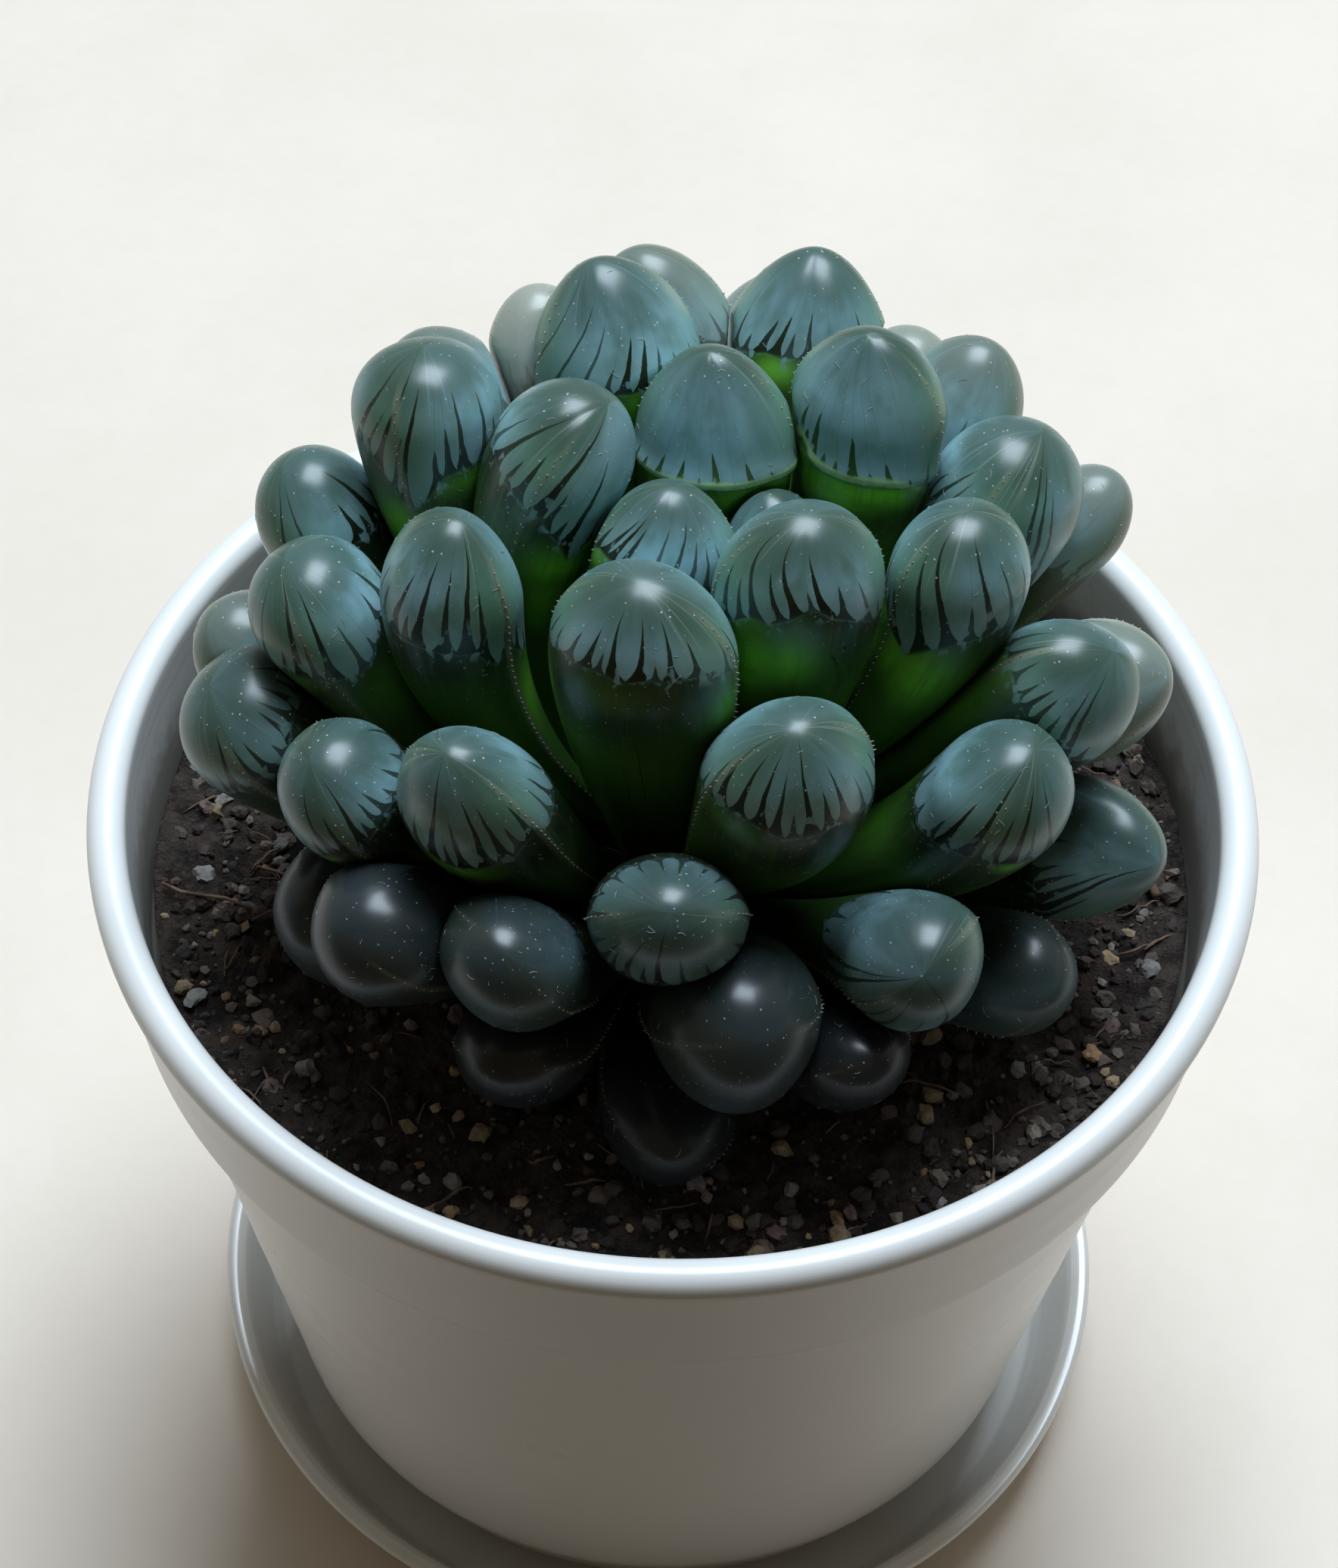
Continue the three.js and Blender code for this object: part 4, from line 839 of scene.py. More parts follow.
def leaf_material(low):
    """low: the old leaves deep in the shade are duller"""
    N = Nodes("haworthia_leaf_low" if low else "haworthia_leaf")
    m = N.math
    along, cx, sx = N.attr("along"), N.attr("cx"), N.attr("sx")
    seed, shade, pale, start = N.attr("seed"), N.attr("shade"), N.attr("pale"), N.attr("start")
    glow, dark, edge_w = N.attr("glow"), N.attr("dark"), N.attr("edge")
    vx, vtop, vfoot, vstr = N.attr("vein_x"), N.attr("vein_top"), N.attr("vein_foot"), N.attr("vein_str")
    acx = m("ABSOLUTE", cx)

    def around(a, b, off):
        return N.xyz(m("ADD", m("MULTIPLY", cx, a), seed), m("ADD", m("MULTIPLY", sx, a), off), m("MULTIPLY", along, b))

    slow = N.noise(around(1.6, 9.0, 0.0), 1.0, 2.0, 0.5)
    fine = N.noise(around(9.0, 46.0, 3.0), 1.0, 3.0, 0.65)
    jag = m("SUBTRACT", fine, 0.5)
    # the window's lower line and the veins standing on it
    line = m("ADD", start, m("MULTIPLY", jag, 0.036))
    height = m("MAXIMUM", m("MULTIPLY", m("SUBTRACT", vtop, start), 1.22), 0.015)
    t = m("DIVIDE", m("SUBTRACT", along, start), height)
    tc = m("MAXIMUM", m("MINIMUM", t, 1.0), 0.0)
    wob = m("MULTIPLY", m("SUBTRACT", slow, 0.5), m("MULTIPLY", N.ramp(tc, 0.0, 0.4), 0.55))
    x = m("ABSOLUTE", m("ADD", m("ADD", vx, wob), m("MULTIPLY", jag, 0.16)))
    taper = m("POWER", m("MAXIMUM", m("SUBTRACT", 1.0, tc), 0.0001), 0.65)
    thin = m("MULTIPLY", m("MULTIPLY", taper, m("ADD", 0.15, m("MULTIPLY", vstr, 0.20))), m("LESS_THAN", t, 1.0))
    foot = m("MULTIPLY", vfoot, m("POWER", m("MAXIMUM", m("SUBTRACT", 1.0, m("DIVIDE", tc, 0.52)), 0.0), 3.8))
    foot = m("MULTIPLY", foot, m("ADD", 0.36, m("MULTIPLY", vstr, 0.36)))
    hw = m("ADD", thin, foot)
    vein = N.ramp(m("SUBTRACT", hw, x), -0.035, 0.030)
    vein = m("MULTIPLY", vein, m("ADD", 0.60, m("MULTIPLY", vstr, 0.40)))
    vein = m("MULTIPLY", vein, N.ramp(along, m("SUBTRACT", start, 0.01), start))
    solid = N.ramp(m("SUBTRACT", line, along), -0.006, 0.008)
    isl = N.noise(around(7.0, 30.0, 9.0), 1.0, 1.0, 0.4)
    isl = m("MULTIPLY", N.ramp(isl, 0.60, 0.66), m("MULTIPLY", N.ramp(along, m("SUBTRACT", start, 0.035), m("SUBTRACT", start, 0.005)), N.ramp(t, 0.45, 0.25)))
    green = m("MAXIMUM", vein, solid)
    green = m("MULTIPLY", green, m("SUBTRACT", 1.0, m("MULTIPLY", isl, 0.8)))
    # window: bluish in the middle of a face, greener to the margins and low down
    side = N.ramp(acx, 0.45, 0.98)
    lit_above_veins = N.ramp(m("SUBTRACT", along, start), 0.10, 0.0)
    cloud = N.noise(around(2.4, 12.0, 5.0), 1.0, 2.0, 0.55)
    greenish = m("MAXIMUM", side, m("MULTIPLY", N.ramp(cloud, 0.38, 0.66), 0.75))
    greenish = m("MAXIMUM", greenish, m("MULTIPLY", N.ramp(along, 0.90, 0.99), 0.55))
    win = N.mix(greenish, WINDOW_BLUE, WINDOW_GREEN)
    # painted shade makes the skin darkest over the tip, and painted light from behind makes it palest just above the
    # veins
    win = N.mix(N.ramp(along, 0.88, 0.985, 0.0, 0.62), win, (0.050, 0.085, 0.072))
    win = N.mix(m("MULTIPLY", N.ramp(sx, 0.1, -0.6), 0.35), win, (0.29, 0.50, 0.58))
    win = N.mix(m("MULTIPLY", lit_above_veins, 0.30), win, (0.36, 0.57, 0.63))
    # painted shade: where the skin faces up it is painted dark and green, and the faces turned down keep the paler
    # colour that stands in for light coming through the leaf
    top_facing_shade = N.ramp(m("ADD", N.attr("up"), m("MULTIPLY", m("SUBTRACT", cloud, 0.5), 0.3)), 0.44, 0.96)
    win = N.mix(m("MULTIPLY", top_facing_shade, 0.80), win, (0.033, 0.066, 0.046))
    # fine pale threads that run with the leaf near its margins
    thr = N.noise(around(15.0, 2.6, 1.0), 1.0, 1.0, 0.6)
    thr = m("MULTIPLY", N.ramp(thr, 0.60, 0.68), m("MULTIPLY", N.ramp(acx, 0.35, 0.85), N.ramp(along, 0.66, 0.80)))
    win = N.mix(m("MULTIPLY", thr, 0.30), win, (0.27, 0.34, 0.29))
    # green body
    low = N.ramp(along, m("SUBTRACT", start, 0.30), start)
    body = N.mix(low, (0.065, 0.190, 0.036), (0.018, 0.042, 0.014))
    # painted shade: each leaf's dark value darkens its green body, standing in for how little light reaches it
    deep = N.mix(low, (0.021, 0.036, 0.018), (0.011, 0.020, 0.010))
    body = N.mix(dark, body, deep)
    # painted sheen: a greyish haze painted over the sides of the green body, less on darker bodies
    side_sheen = m("MULTIPLY", N.ramp(acx, 0.30, 0.95), N.ramp(cloud, 0.30, 0.62))
    side_sheen = m("MULTIPLY", side_sheen, N.ramp(along, 0.35, 0.62))
    body = N.mix(m("MULTIPLY", side_sheen, m("SUBTRACT", 0.30, m("MULTIPLY", dark, 0.20))), body, (0.15, 0.215, 0.140))
    # painted glow: gl paints the body, and below the veins, bright green where light from behind comes through
    gl = m("MULTIPLY", glow, N.ramp(m("ADD", slow, m("MULTIPLY", jag, 0.5)), 0.15, 0.6, 0.65, 1.0))
    body = N.mix(m("MINIMUM", gl, 1.0), body, (0.24, 0.80, 0.050))
    # long faint streaks in the body
    strk = N.noise(around(11.0, 3.0, 7.0), 1.0, 1.0, 0.6)
    body = N.mix(m("MULTIPLY", N.ramp(strk, 0.52, 0.68), 0.28), body, (0.09, 0.18, 0.05))
    vcol = N.mix(N.ramp(t, 0.05, 0.9), (0.0075, 0.0140, 0.0055), (0.012, 0.024, 0.010))
    vcol = N.mix(m("MULTIPLY", m("MINIMUM", gl, 1.0), 0.55), vcol, (0.030, 0.080, 0.006))
    vcol = N.mix(m("MULTIPLY", N.attr("lip"), 0.9), vcol, (0.034, 0.095, 0.014))
    body = N.mix(N.ramp(t, -0.05, 0.06), body, vcol)
    col = N.mix(green, win, body)
    # the light edge of the folded lips
    lipm = m("MULTIPLY", N.attr("lip"), N.ramp(m("ABSOLUTE", m("SUBTRACT", along, m("ADD", m("ADD", start, 0.010), m("MULTIPLY", jag, 0.014)))), 0.014, 0.005))
    col = N.mix(m("MULTIPLY", lipm, 0.85), col, (0.46, 0.72, 0.33))
    # greyish bloom over all, a pale line along the margins
    bloom = N.noise(around(4.0, 16.0, 11.0), 1.0, 2.0, 0.6)
    col = N.mix(N.ramp(bloom, 0.40, 0.80, 0.0, 0.05), col, (0.16, 0.20, 0.19))
    marg = m("MULTIPLY", N.ramp(acx, 0.9955, 0.9995), m("MULTIPLY", N.ramp(along, 0.1, 0.3), N.ramp(along, 0.985, 0.93)))
    col = N.mix(m("MULTIPLY", marg, edge_w), col, (0.21, 0.24, 0.165))
    palec = N.mix(N.ramp(along, 0.60, 0.80), (0.045, 0.08, 0.03), (0.44, 0.43, 0.36))
    col = N.mix(m("MULTIPLY", pale, 0.75), col, palec)
    # painted shade: leaves deep in the shade are painted nearly black, a little lighter and warmer towards the margins
    shaded_leaf_colour = N.mix(m("MULTIPLY", green, 0.35), (0.0165, 0.0200, 0.0235), (0.0090, 0.0105, 0.0105))
    shaded_leaf_colour = N.mix(N.ramp(acx, 0.80, 0.99, 0.0, 0.5), shaded_leaf_colour, (0.030, 0.027, 0.023))
    shaded_leaf_colour = N.mix(m("MULTIPLY", marg, edge_w), shaded_leaf_colour, (0.10, 0.09, 0.075))
    col = N.mix(shade, col, shaded_leaf_colour)
    # dust
    o = N.obj()
    d1 = N.t.nodes.new("ShaderNodeTexVoronoi")
    N.t.links.new(o, d1.inputs["Vector"])
    d1.inputs["Scale"].default_value = 1700.0
    dust = m("MULTIPLY", N.ramp(d1.outputs["Distance"], 0.16, 0.08),
             m("GREATER_THAN", N.sepc(d1.outputs["Color"])[0], 0.44))
    zone = m("MULTIPLY", N.ramp(N.noise(o, 180.0, 1.0, 0.6), 0.32, 0.54), N.ramp(along, 0.45, 0.80))
    dust = m("MULTIPLY", dust, zone)
    # dust on leaves with painted shade is painted dimmer as well
    col = N.mix(m("MULTIPLY", dust, m("SUBTRACT", 0.70, m("MULTIPLY", shade, 0.3))), col, (0.62, 0.66, 0.66))
    rough = N.ramp(N.noise(o, 260.0, 1.0, 0.6), 0.3, 0.75, 0.36, 0.46)
    rough = m("ADD", rough, m("MULTIPLY", dust, 0.4))
    sss = m("SUBTRACT", m("ADD", 0.78, m("MULTIPLY", m("MINIMUM", gl, 1.0), 0.20)), m("MULTIPLY", vein, 0.66))
    sss = 0.0 if low else m("MAXIMUM", m("SUBTRACT", sss, m("MULTIPLY", shade, 0.4)), 0.0)
    N.bump(N.noise(o, 700.0, 2.0, 0.6), 0.10, 0.00014)
    N.set(colour=col, rough=rough, spec=0.12 if low else 0.40, coat_ior=1.64, coat=0.52 if low else 1.0, coat_rough=0.29, ior=1.42,
          sss=sss, sss_scale=0.006, sss_radius=(0.55, 0.95, 1.0))
    return N.mat


def simple(name, colour, rough, var=0.15, scale=300.0, spec=0.5, **kw):
    N = Nodes(name)
    o = N.obj()
    n = N.noise(o, scale, 4.0, 0.6)
    dark = tuple(v * (1 - var) for v in colour)
    light = tuple(min(1.0, v * (1 + var)) for v in colour)
    N.set(colour=N.mix(N.ramp(n, 0.3, 0.7), dark, light), rough=N.ramp(n, 0.3, 0.7, rough * 0.9, min(1, rough * 1.1)), spec=spec, **kw)
    return N


def pot_material():
    N = Nodes("pot_plastic")
    m = N.math
    o = N.obj()
    x, y, z = N.sep(o)
    n = N.noise(o, 34.0, 2.0, 0.5)
    fine = N.noise(o, 900.0, 2.0, 0.5)
    col = N.mix(N.ramp(n, 0.25, 0.75), (0.775, 0.765, 0.745), (0.80, 0.79, 0.772))
    r = m("POWER", m("ADD", m("MULTIPLY", x, x), m("MULTIPLY", y, y)), 0.5)
    # soil stains low on the inside wall
    inside = m("MULTIPLY", N.ramp(r, 0.0421, 0.0419), N.ramp(z, 0.0560, 0.0575))
    band = m("MULTIPLY", inside, N.ramp(m("ADD", z, m("MULTIPLY", m("SUBTRACT", N.noise(o, 380.0, 4.0, 0.65), 0.5), 0.006)), 0.0685, 0.0625))
    col = N.mix(m("MULTIPLY", band, 0.75), col, (0.16, 0.12, 0.085))
    # the whole inside wall a little greyer: partly dirt, partly painted shade
    col = N.mix(m("MULTIPLY", inside, 0.12), col, (0.42, 0.38, 0.34))
    # faint turned rings from moulding
    ring = N.noise(N.xyz(0.0, 0.0, m("MULTIPLY", z, 900.0)), 1.0, 3.0, 0.6)
    N.bump(m("ADD", m("MULTIPLY", ring, 0.6), m("MULTIPLY", fine, 0.12)), 0.10, 0.0004)
    N.set(colour=col, rough=N.ramp(n, 0.3, 0.7, 0.27, 0.31), spec=0.5)
    return N.mat


def saucer_material():
    N = Nodes("saucer_plastic")
    m = N.math
    o = N.obj()
    x, y, z = N.sep(o)
    n = N.noise(o, 70.0, 4.0, 0.6)
    col = N.mix(N.ramp(n, 0.3, 0.7), (0.70, 0.685, 0.65), (0.77, 0.755, 0.725))
    v = N.noise(o, 420.0, 4.0, 0.7)
    col = N.mix(m("MULTIPLY", N.ramp(v, 0.66, 0.74), 0.25), col, (0.40, 0.34, 0.27))
    ang = N.t.nodes.new("ShaderNodeMath")
    ang.operation = "ARCTAN2"
    N.t.links.new(y, ang.inputs[0])
    N.t.links.new(x, ang.inputs[1])
    flow = N.noise(N.xyz(m("MULTIPLY", ang.outputs[0], 9.0), m("MULTIPLY", z, 60.0), 0.0), 1.0, 3.0, 0.6)
    N.bump(flow, 0.10, 0.0006)
    N.set(colour=col, rough=N.ramp(n, 0.3, 0.7, 0.16, 0.26), spec=0.5, sss=0.15, sss_scale=0.002, sss_radius=(1, 0.9, 0.75),
          coat=0.2, coat_rough=0.1)
    return N.mat


def soil_material():
    N = Nodes("peat")
    m = N.math
    o = N.obj()
    n1 = N.noise(o, 350.0, 6.0, 0.7)
    n2 = N.noise(o, 1600.0, 4.0, 0.7)
    n3 = N.noise(o, 120.0, 3.0, 0.6)
    col = N.mix(N.ramp(n1, 0.35, 0.65), (0.014, 0.011, 0.0095), (0.075, 0.054, 0.043))
    col = N.mix(N.ramp(n2, 0.60, 0.72, 0.0, 0.6), col, (0.15, 0.115, 0.09))
    col = N.mix(N.ramp(n3, 0.55, 0.75, 0.0, 0.4), col, (0.075, 0.055, 0.045))
    N.bump(m("ADD", n1, m("MULTIPLY", n2, 0.8)), 1.0, 0.0012)
    N.set(colour=col, rough=0.92, spec=0.25)
    return N.mat


def grain_material():
    N = Nodes("grit")
    m = N.math
    o = N.obj()
    base = N.attr("tint", colour=True)
    n = N.noise(o, 1500.0, 4.0, 0.65)
    n2 = N.noise(o, 500.0, 3.0, 0.6)
    col = N.mix(N.ramp(n, 0.35, 0.7), base, (0.02, 0.016, 0.013), "MIX")
    col = N.mix(0.62, col, base)
    col = N.mix(N.ramp(n2, 0.55, 0.75, 0.0, 0.55), col, (0.030, 0.022, 0.017))
    N.bump(m("ADD", n, n2), 0.7, 0.0003)
    N.set(colour=col, rough=0.8, spec=0.35)
    return N.mat


# light of the room by direction: front left, front right, back left, back
# right and overhead
ROOM = {"fl": (0.085, 0.066, 0.038), "fr": (0.085, 0.066, 0.038), "bl": (0.31, 0.325, 0.32), "br": (0.32, 0.335, 0.345),
        "top": (0.10, 0.09, 0.065)}
FLOOR_A, FLOOR_B, FLOOR_SHADE = (0.750, 0.648, 0.552), (0.790, 0.690, 0.592), (0.10, 0.075, 0.05)


def world_look():
    w = bpy.data.worlds.new("room")
    bpy.context.scene.world = w
    w.use_nodes = True
    t = w.node_tree
    t.nodes.clear()
    out = t.nodes.new("ShaderNodeOutputWorld")
    bg = t.nodes.new("ShaderNodeBackground")
    co = t.nodes.new("ShaderNodeTexCoord")
    sp = t.nodes.new("ShaderNodeSeparateXYZ")
    t.links.new(co.outputs["Generated"], sp.inputs[0])

    def blend(sock, lo, hi):
        r = t.nodes.new("ShaderNodeMapRange")
        r.interpolation_type = "SMOOTHSTEP"
        r.inputs[1].default_value, r.inputs[2].default_value = lo, hi
        t.links.new(sock, r.inputs[0])
        return r.outputs[0]

    def mix(f, a, b):
        n = t.nodes.new("ShaderNodeMix")
        n.data_type = "RGBA"
        t.links.new(f, n.inputs[0])
        for i, v in ((6, a), (7, b)):
            if isinstance(v, tuple):
                n.inputs[i].default_value = (*v, 1)
            else:
                t.links.new(v, n.inputs[i])
        return n.outputs[2]

    right = blend(sp.outputs[0], -0.5, 0.5)
    back = blend(sp.outputs[1], -0.35, 0.35)
    up = blend(sp.outputs[2], 0.70, 0.95)
    front_c = mix(right, ROOM["fl"], ROOM["fr"])
    back_c = mix(right, ROOM["bl"], ROOM["br"])
    t.links.new(mix(up, mix(back, front_c, back_c), ROOM["top"]), bg.inputs[0])
    bg.inputs[1].default_value = 1.0
    t.links.new(bg.outputs[0], out.inputs[0])


def area(name, direction, dist, size_x, size_y, power, colour, target=(0, 0, 0.085)):
    li = bpy.data.lights.new(name, "AREA")
    li.shape = "RECTANGLE"
    li.size, li.size_y = size_x, size_y
    li.energy = power
    li.color = colour
    ob = bpy.data.objects.new(name, li)
    bpy.context.scene.collection.objects.link(ob)
    d = Vector(direction).normalized()
    ob.location = Vector(target) + d * dist
    ob.rotation_euler = d.to_track_quat("Z", "Y").to_euler()
    return ob


def lathe(name, profile, segments, mats, mat_of=None):
    """profile of (r, z) in mm; starts and ends on the axis"""
    pr = np.array(profile, float)
    ph = np.linspace(0, 2 * np.pi, segments, endpoint=False)
    ring = pr[1:-1]
    verts = [(0, 0, pr[0, 1])]
    for r, z in ring:
        for a in ph:
            verts.append((r * math.cos(a), r * math.sin(a), z))
    verts.append((0, 0, pr[-1, 1]))
    verts = np.array(verts)
    j = np.arange(segments)
    faces = []
    faces += [(0, 1 + int((i + 1) % segments), 1 + int(i)) for i in j]
    for k in range(len(ring) - 1):
        a = 1 + k * segments
        b = a + segments
        for i in range(segments):
            n = (i + 1) % segments
            faces.append((a + i, a + n, b + n, b + i))
    a = 1 + (len(ring) - 1) * segments
    last = len(verts) - 1
    faces += [(last, a + int(i), a + int((i + 1) % segments)) for i in j]
    # outward check by volume
    vol = 0.0
    for f in faces:
        p0 = verts[f[0]]
        for q in range(1, len(f) - 1):
            vol += np.dot(p0, np.cross(verts[f[q]], verts[f[q + 1]]))
    if vol < 0:
        faces = [f[::-1] for f in faces]
    return new_mesh(name, verts * MM, faces, mats)


def rounded(points, step=0.25):
    """a smooth profile through points: corners given with a radius (r, z, rad)"""
    out = []
    n = len(points)
    for i, p in enumerate(points):
        r, z = p[0], p[1]
        rad = p[2] if len(p) > 2 else 0
        if rad <= 0 or i in (0, n - 1):
            out.append((r, z))
            continue
        a = np.array(points[i - 1][:2], float) - (r, z)
        b = np.array(points[i + 1][:2], float) - (r, z)
        la, lb = np.linalg.norm(a), np.linalg.norm(b)
        a, b = a / la, b / lb
        ang = math.acos(max(-1, min(1, float(a @ b))))
        cut = min(rad / math.tan(ang / 2), 0.49 * la, 0.49 * lb)
        p0, p1 = np.array((r, z)) + a * cut, np.array((r, z)) + b * cut
        m = max(2, int(math.ceil((math.pi - ang) / math.radians(14))))
        for t in np.linspace(0, 1, m + 1):
            q = (1 - t) ** 2 * p0 + 2 * t * (1 - t) * np.array((r, z)) + t * t * p1
            out.append(tuple(q))
    return out


def build_pot(mat):
    br = lambda z: 33.4 + (41.3 - 33.4) * (z - 11.5) / (58.5 - 11.5)
    outer = [(0, 3.5), (25.6, 3.5, 0.3), (26.0, 1.9, 0.35), (29.0, 1.9, 0.4), (31.2, 4.6, 1.5), (33.1, 9.0, 4.0)]
    body = [(br(z) + 0.035 * math.sin(z * 1.9) + 0.02 * math.sin(z * 4.3 + 1), z) for z in np.linspace(12.0, 57.6, 40)]
    top = [(41.28, 58.3, 0.25), (42.72, 58.32, 0.3), (42.9, 58.9, 0.3)]
    collar = [(42.9 + (44.12 - 42.9) * t + 0.015 * math.sin(t * 16), 58.9 + (69.0 - 58.9) * t) for t in np.linspace(0.08, 0.96, 14)]
    step = [(44.14, 69.1, 0.15), (44.36, 69.22, 0.15), (44.42, 69.65, 0.2)]
    # the bead: nearly a quarter ellipse outside, flattish crown sloping in
    bead = []
    for a in np.linspace(-12, 90, 15):
        bead.append((43.40 + 1.5 * math.cos(math.radians(a)), 70.52 + 1.56 * math.sin(math.radians(a))))
    for a in np.linspace(90, 172, 12)[1:]:
        bead.append((43.40 + 1.5 * math.cos(math.radians(a)), 70.72 + 1.36 * math.sin(math.radians(a))))
    inner = [(41.86, 70.4), (41.74, 69.0), (41.62, 67.5), (41.45, 65.5), (41.3, 63.5), (41.2, 61.0), (41.0, 58.5, 0.8),
             (br(56.6) - 1.72, 56.4, 0.8), (br(30) - 1.8, 30), (br(11.5) - 1.9, 11.5), (29.6, 7.2, 1.0), (28.0, 5.6, 1.0), (0, 5.6)]
    prof = rounded(outer + body + top + collar + step + bead + inner)
    ob = lathe("pot_shell", prof, 192, [mat])
    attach(ob, "root")
    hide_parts("pot")
    return ob


def build_saucer(mat):
    outer = [(0, 0.35), (30.6, 0.35, 0.3), (31.2, 0.0, 0.3), (32.9, 0.0, 0.8), (34.7, 0.75, 1.2), (35.85, 2.1, 1.5)]
    wall = [(35.85 + (37.8 - 35.85) * t, 2.1 + (6.6 - 2.1) * t) for t in np.linspace(0.15, 0.95, 8)]
    rim = [(37.95, 6.75, 0.2), (38.45, 7.0, 0.3), (38.66, 7.5, 0.4), (38.35, 7.98, 0.4), (37.6, 7.98, 0.35), (37.0, 7.45, 0.5), (36.5, 6.6)]
    inside = [(35.6, 4.4), (34.8, 2.75, 0.8), (33.9, 1.75, 0.9), (32.5, 1.6), (12, 1.6), (11.4, 1.45), (0, 1.45)]
    prof = rounded(outer + wall + rim + inside)
    ob = lathe("saucer_dish", prof, 176, [mat])
    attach(ob, "root")
    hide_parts("saucer")
    return ob


def soil_bumps(x, y):
    h = 0.0
    v = Vector((x * 0.11, y * 0.11, 3.1))
    h += 0.55 * mnoise.noise(v)
    v = Vector((x * 0.42, y * 0.42, 7.7))
    h += 0.55 * mnoise.noise(v)
    v = Vector((x * 1.1, y * 1.1, 1.3))
    h += 0.34 * mnoise.noise(v)
    v = Vector((x * 2.4, y * 2.4, 5.3))
    h += 0.22 * mnoise.noise(v)
    return h


def build_soil(mat):
    """the plug of soil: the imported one's outline below, a fine crumbly top"""
    seg = 310
    radii = list(np.linspace(0, 40.5, 122))[1:]
    ph = np.linspace(0, 2 * np.pi, seg, endpoint=False)
    br = lambda z: 33.4 + (41.3 - 33.4) * (z - 11.5) / (58.5 - 11.5)
    verts = [(0, 0, 58.0)]
    rings = []
    for r in radii:
        row = []
        for a in ph:
            x, y = r * math.cos(a), r * math.sin(a)
            if r < STEM_R + 0.9:
                z = 58.5
            else:
                z = float(soil_height(x, y)) + soil_bumps(x, y) - 0.2
                z += 0.8 * smooth(36.5, 40.5, r) * (0.5 + mnoise.noise(Vector((x * 0.12, y * 0.12, 9.0))))
            row.append(len(verts))
            verts.append((x, y, z))
        rings.append(row)
    for r, z in ((40.35, 60.6), (br(57.3) - 2.05, 57.3), (br(11.5) - 2.2, 11.5), (29.0, 7.6), (27.4, 5.95)):
        row = []
        for a in ph:
            row.append(len(verts))
            verts.append((r * math.cos(a), r * math.sin(a), z))
        rings.append(row)
    verts.append((0, 0, 5.95))
    faces = [(0, rings[0][i], rings[0][(i + 1) % seg]) for i in range(seg)]
    for k in range(len(rings) - 1):
        a, b = rings[k], rings[k + 1]
        for i in range(seg):
            n = (i + 1) % seg
            faces.append((a[i], b[i], b[n], a[n]))
    last = len(verts) - 1
    faces += [(last, rings[-1][(i + 1) % seg], rings[-1][i]) for i in range(seg)]
    ob = new_mesh("soil_bed", np.array(verts) * MM, faces, [mat])
    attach(ob, "root")
    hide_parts("soil")
    return ob


def ico(sub):
    import bmesh
    bm = bmesh.new()
    bmesh.ops.create_icosphere(bm, subdivisions=sub, radius=1.0)
    v = np.array([p.co[:] for p in bm.verts])
    f = np.array([[p.index for p in q.verts] for q in bm.faces])
    bm.free()
    return v, f


TINTS = [((0.34, 0.24, 0.14), 1.3), ((0.24, 0.20, 0.16), 1.8), ((0.19, 0.135, 0.11), 3.0), ((0.27, 0.25, 0.23), 1.3),
         ((0.135, 0.10, 0.085), 5.0), ((0.075, 0.056, 0.047), 8.0), ((0.035, 0.026, 0.022), 9.0), ((0.34, 0.21, 0.11), 0.6)]


def build_grains(mat, low_skins):
    rg = np.random.default_rng(41)
    iv1, if1 = ico(1)
    iv2, if2 = ico(2)
    V, F, T = [], [], []
    nv = 0
    weights = np.array([w for _, w in TINTS])
    weights = weights / weights.sum()
    count = 3300
    placed = 0
    for it in range(count):
        r = math.sqrt(rg.uniform(11.5 ** 2, 40.0 ** 2))
        if rg.uniform() < 0.25:
            r = math.sqrt(rg.uniform(33.0 ** 2, 40.0 ** 2))
        a = rg.uniform(0, 2 * math.pi)
        size = 0.20 + 0.70 * rg.uniform() ** 2.6
        k = int(rg.choice(len(TINTS), p=weights))
        tint = np.array(TINTS[k][0]) * rg.uniform(0.75, 1.2)
        if k in (0, 3, 7):
            size = 0.32 + 0.60 * rg.uniform() ** 1.6
        r = min(r, 40.1 - size)
        x, y = r * math.cos(a), r * math.sin(a)
        if r < 13 and y > 0:
            continue
        z = float(soil_height(x, y)) + soil_bumps(x, y) - 0.2 + size * rg.uniform(0.05, 0.45)
        # stones lie beside the leaves, not in them
        if any(tree.find_nearest(Vector((x, y, z)) * MM, 1.25 * size * MM)[0] for tree in low_skins):
            continue
        iv, fi = (iv2, if2) if size > 0.68 else (iv1, if1)
        p = iv.copy()
        ph = rg.uniform(0, 50, 3)
        amp = rg.uniform(0.35, 0.75)
        d = np.array([mnoise.noise(Vector(tuple(q * 1.25 + ph))) for q in p])
        d2 = np.array([mnoise.noise(Vector(tuple(q * 2.9 + ph))) for q in p])
        p = p * (1 + amp * d + 0.30 * d2)[:, None]
        p *= np.array([1, rg.uniform(0.62, 1.0), rg.uniform(0.5, 0.85)])
        R = np.array(Matrix.Rotation(rg.uniform(0, 6.28), 3, "Z") @ Matrix.Rotation(rg.uniform(-0.5, 0.5), 3, "X"))
        p = (p * size) @ R.T + (x, y, z)
        V.append(p)
        F.append(fi + nv)
        T.append(np.tile(tint, (len(p), 1)))
        nv += len(p)
        placed += 1
    ob = new_mesh("soil_grit", np.vstack(V) * MM, np.vstack(F), [mat], smooth_shade=False)
    colour_attribute(ob, "tint", np.vstack(T))
    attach(ob, "root")
    return ob


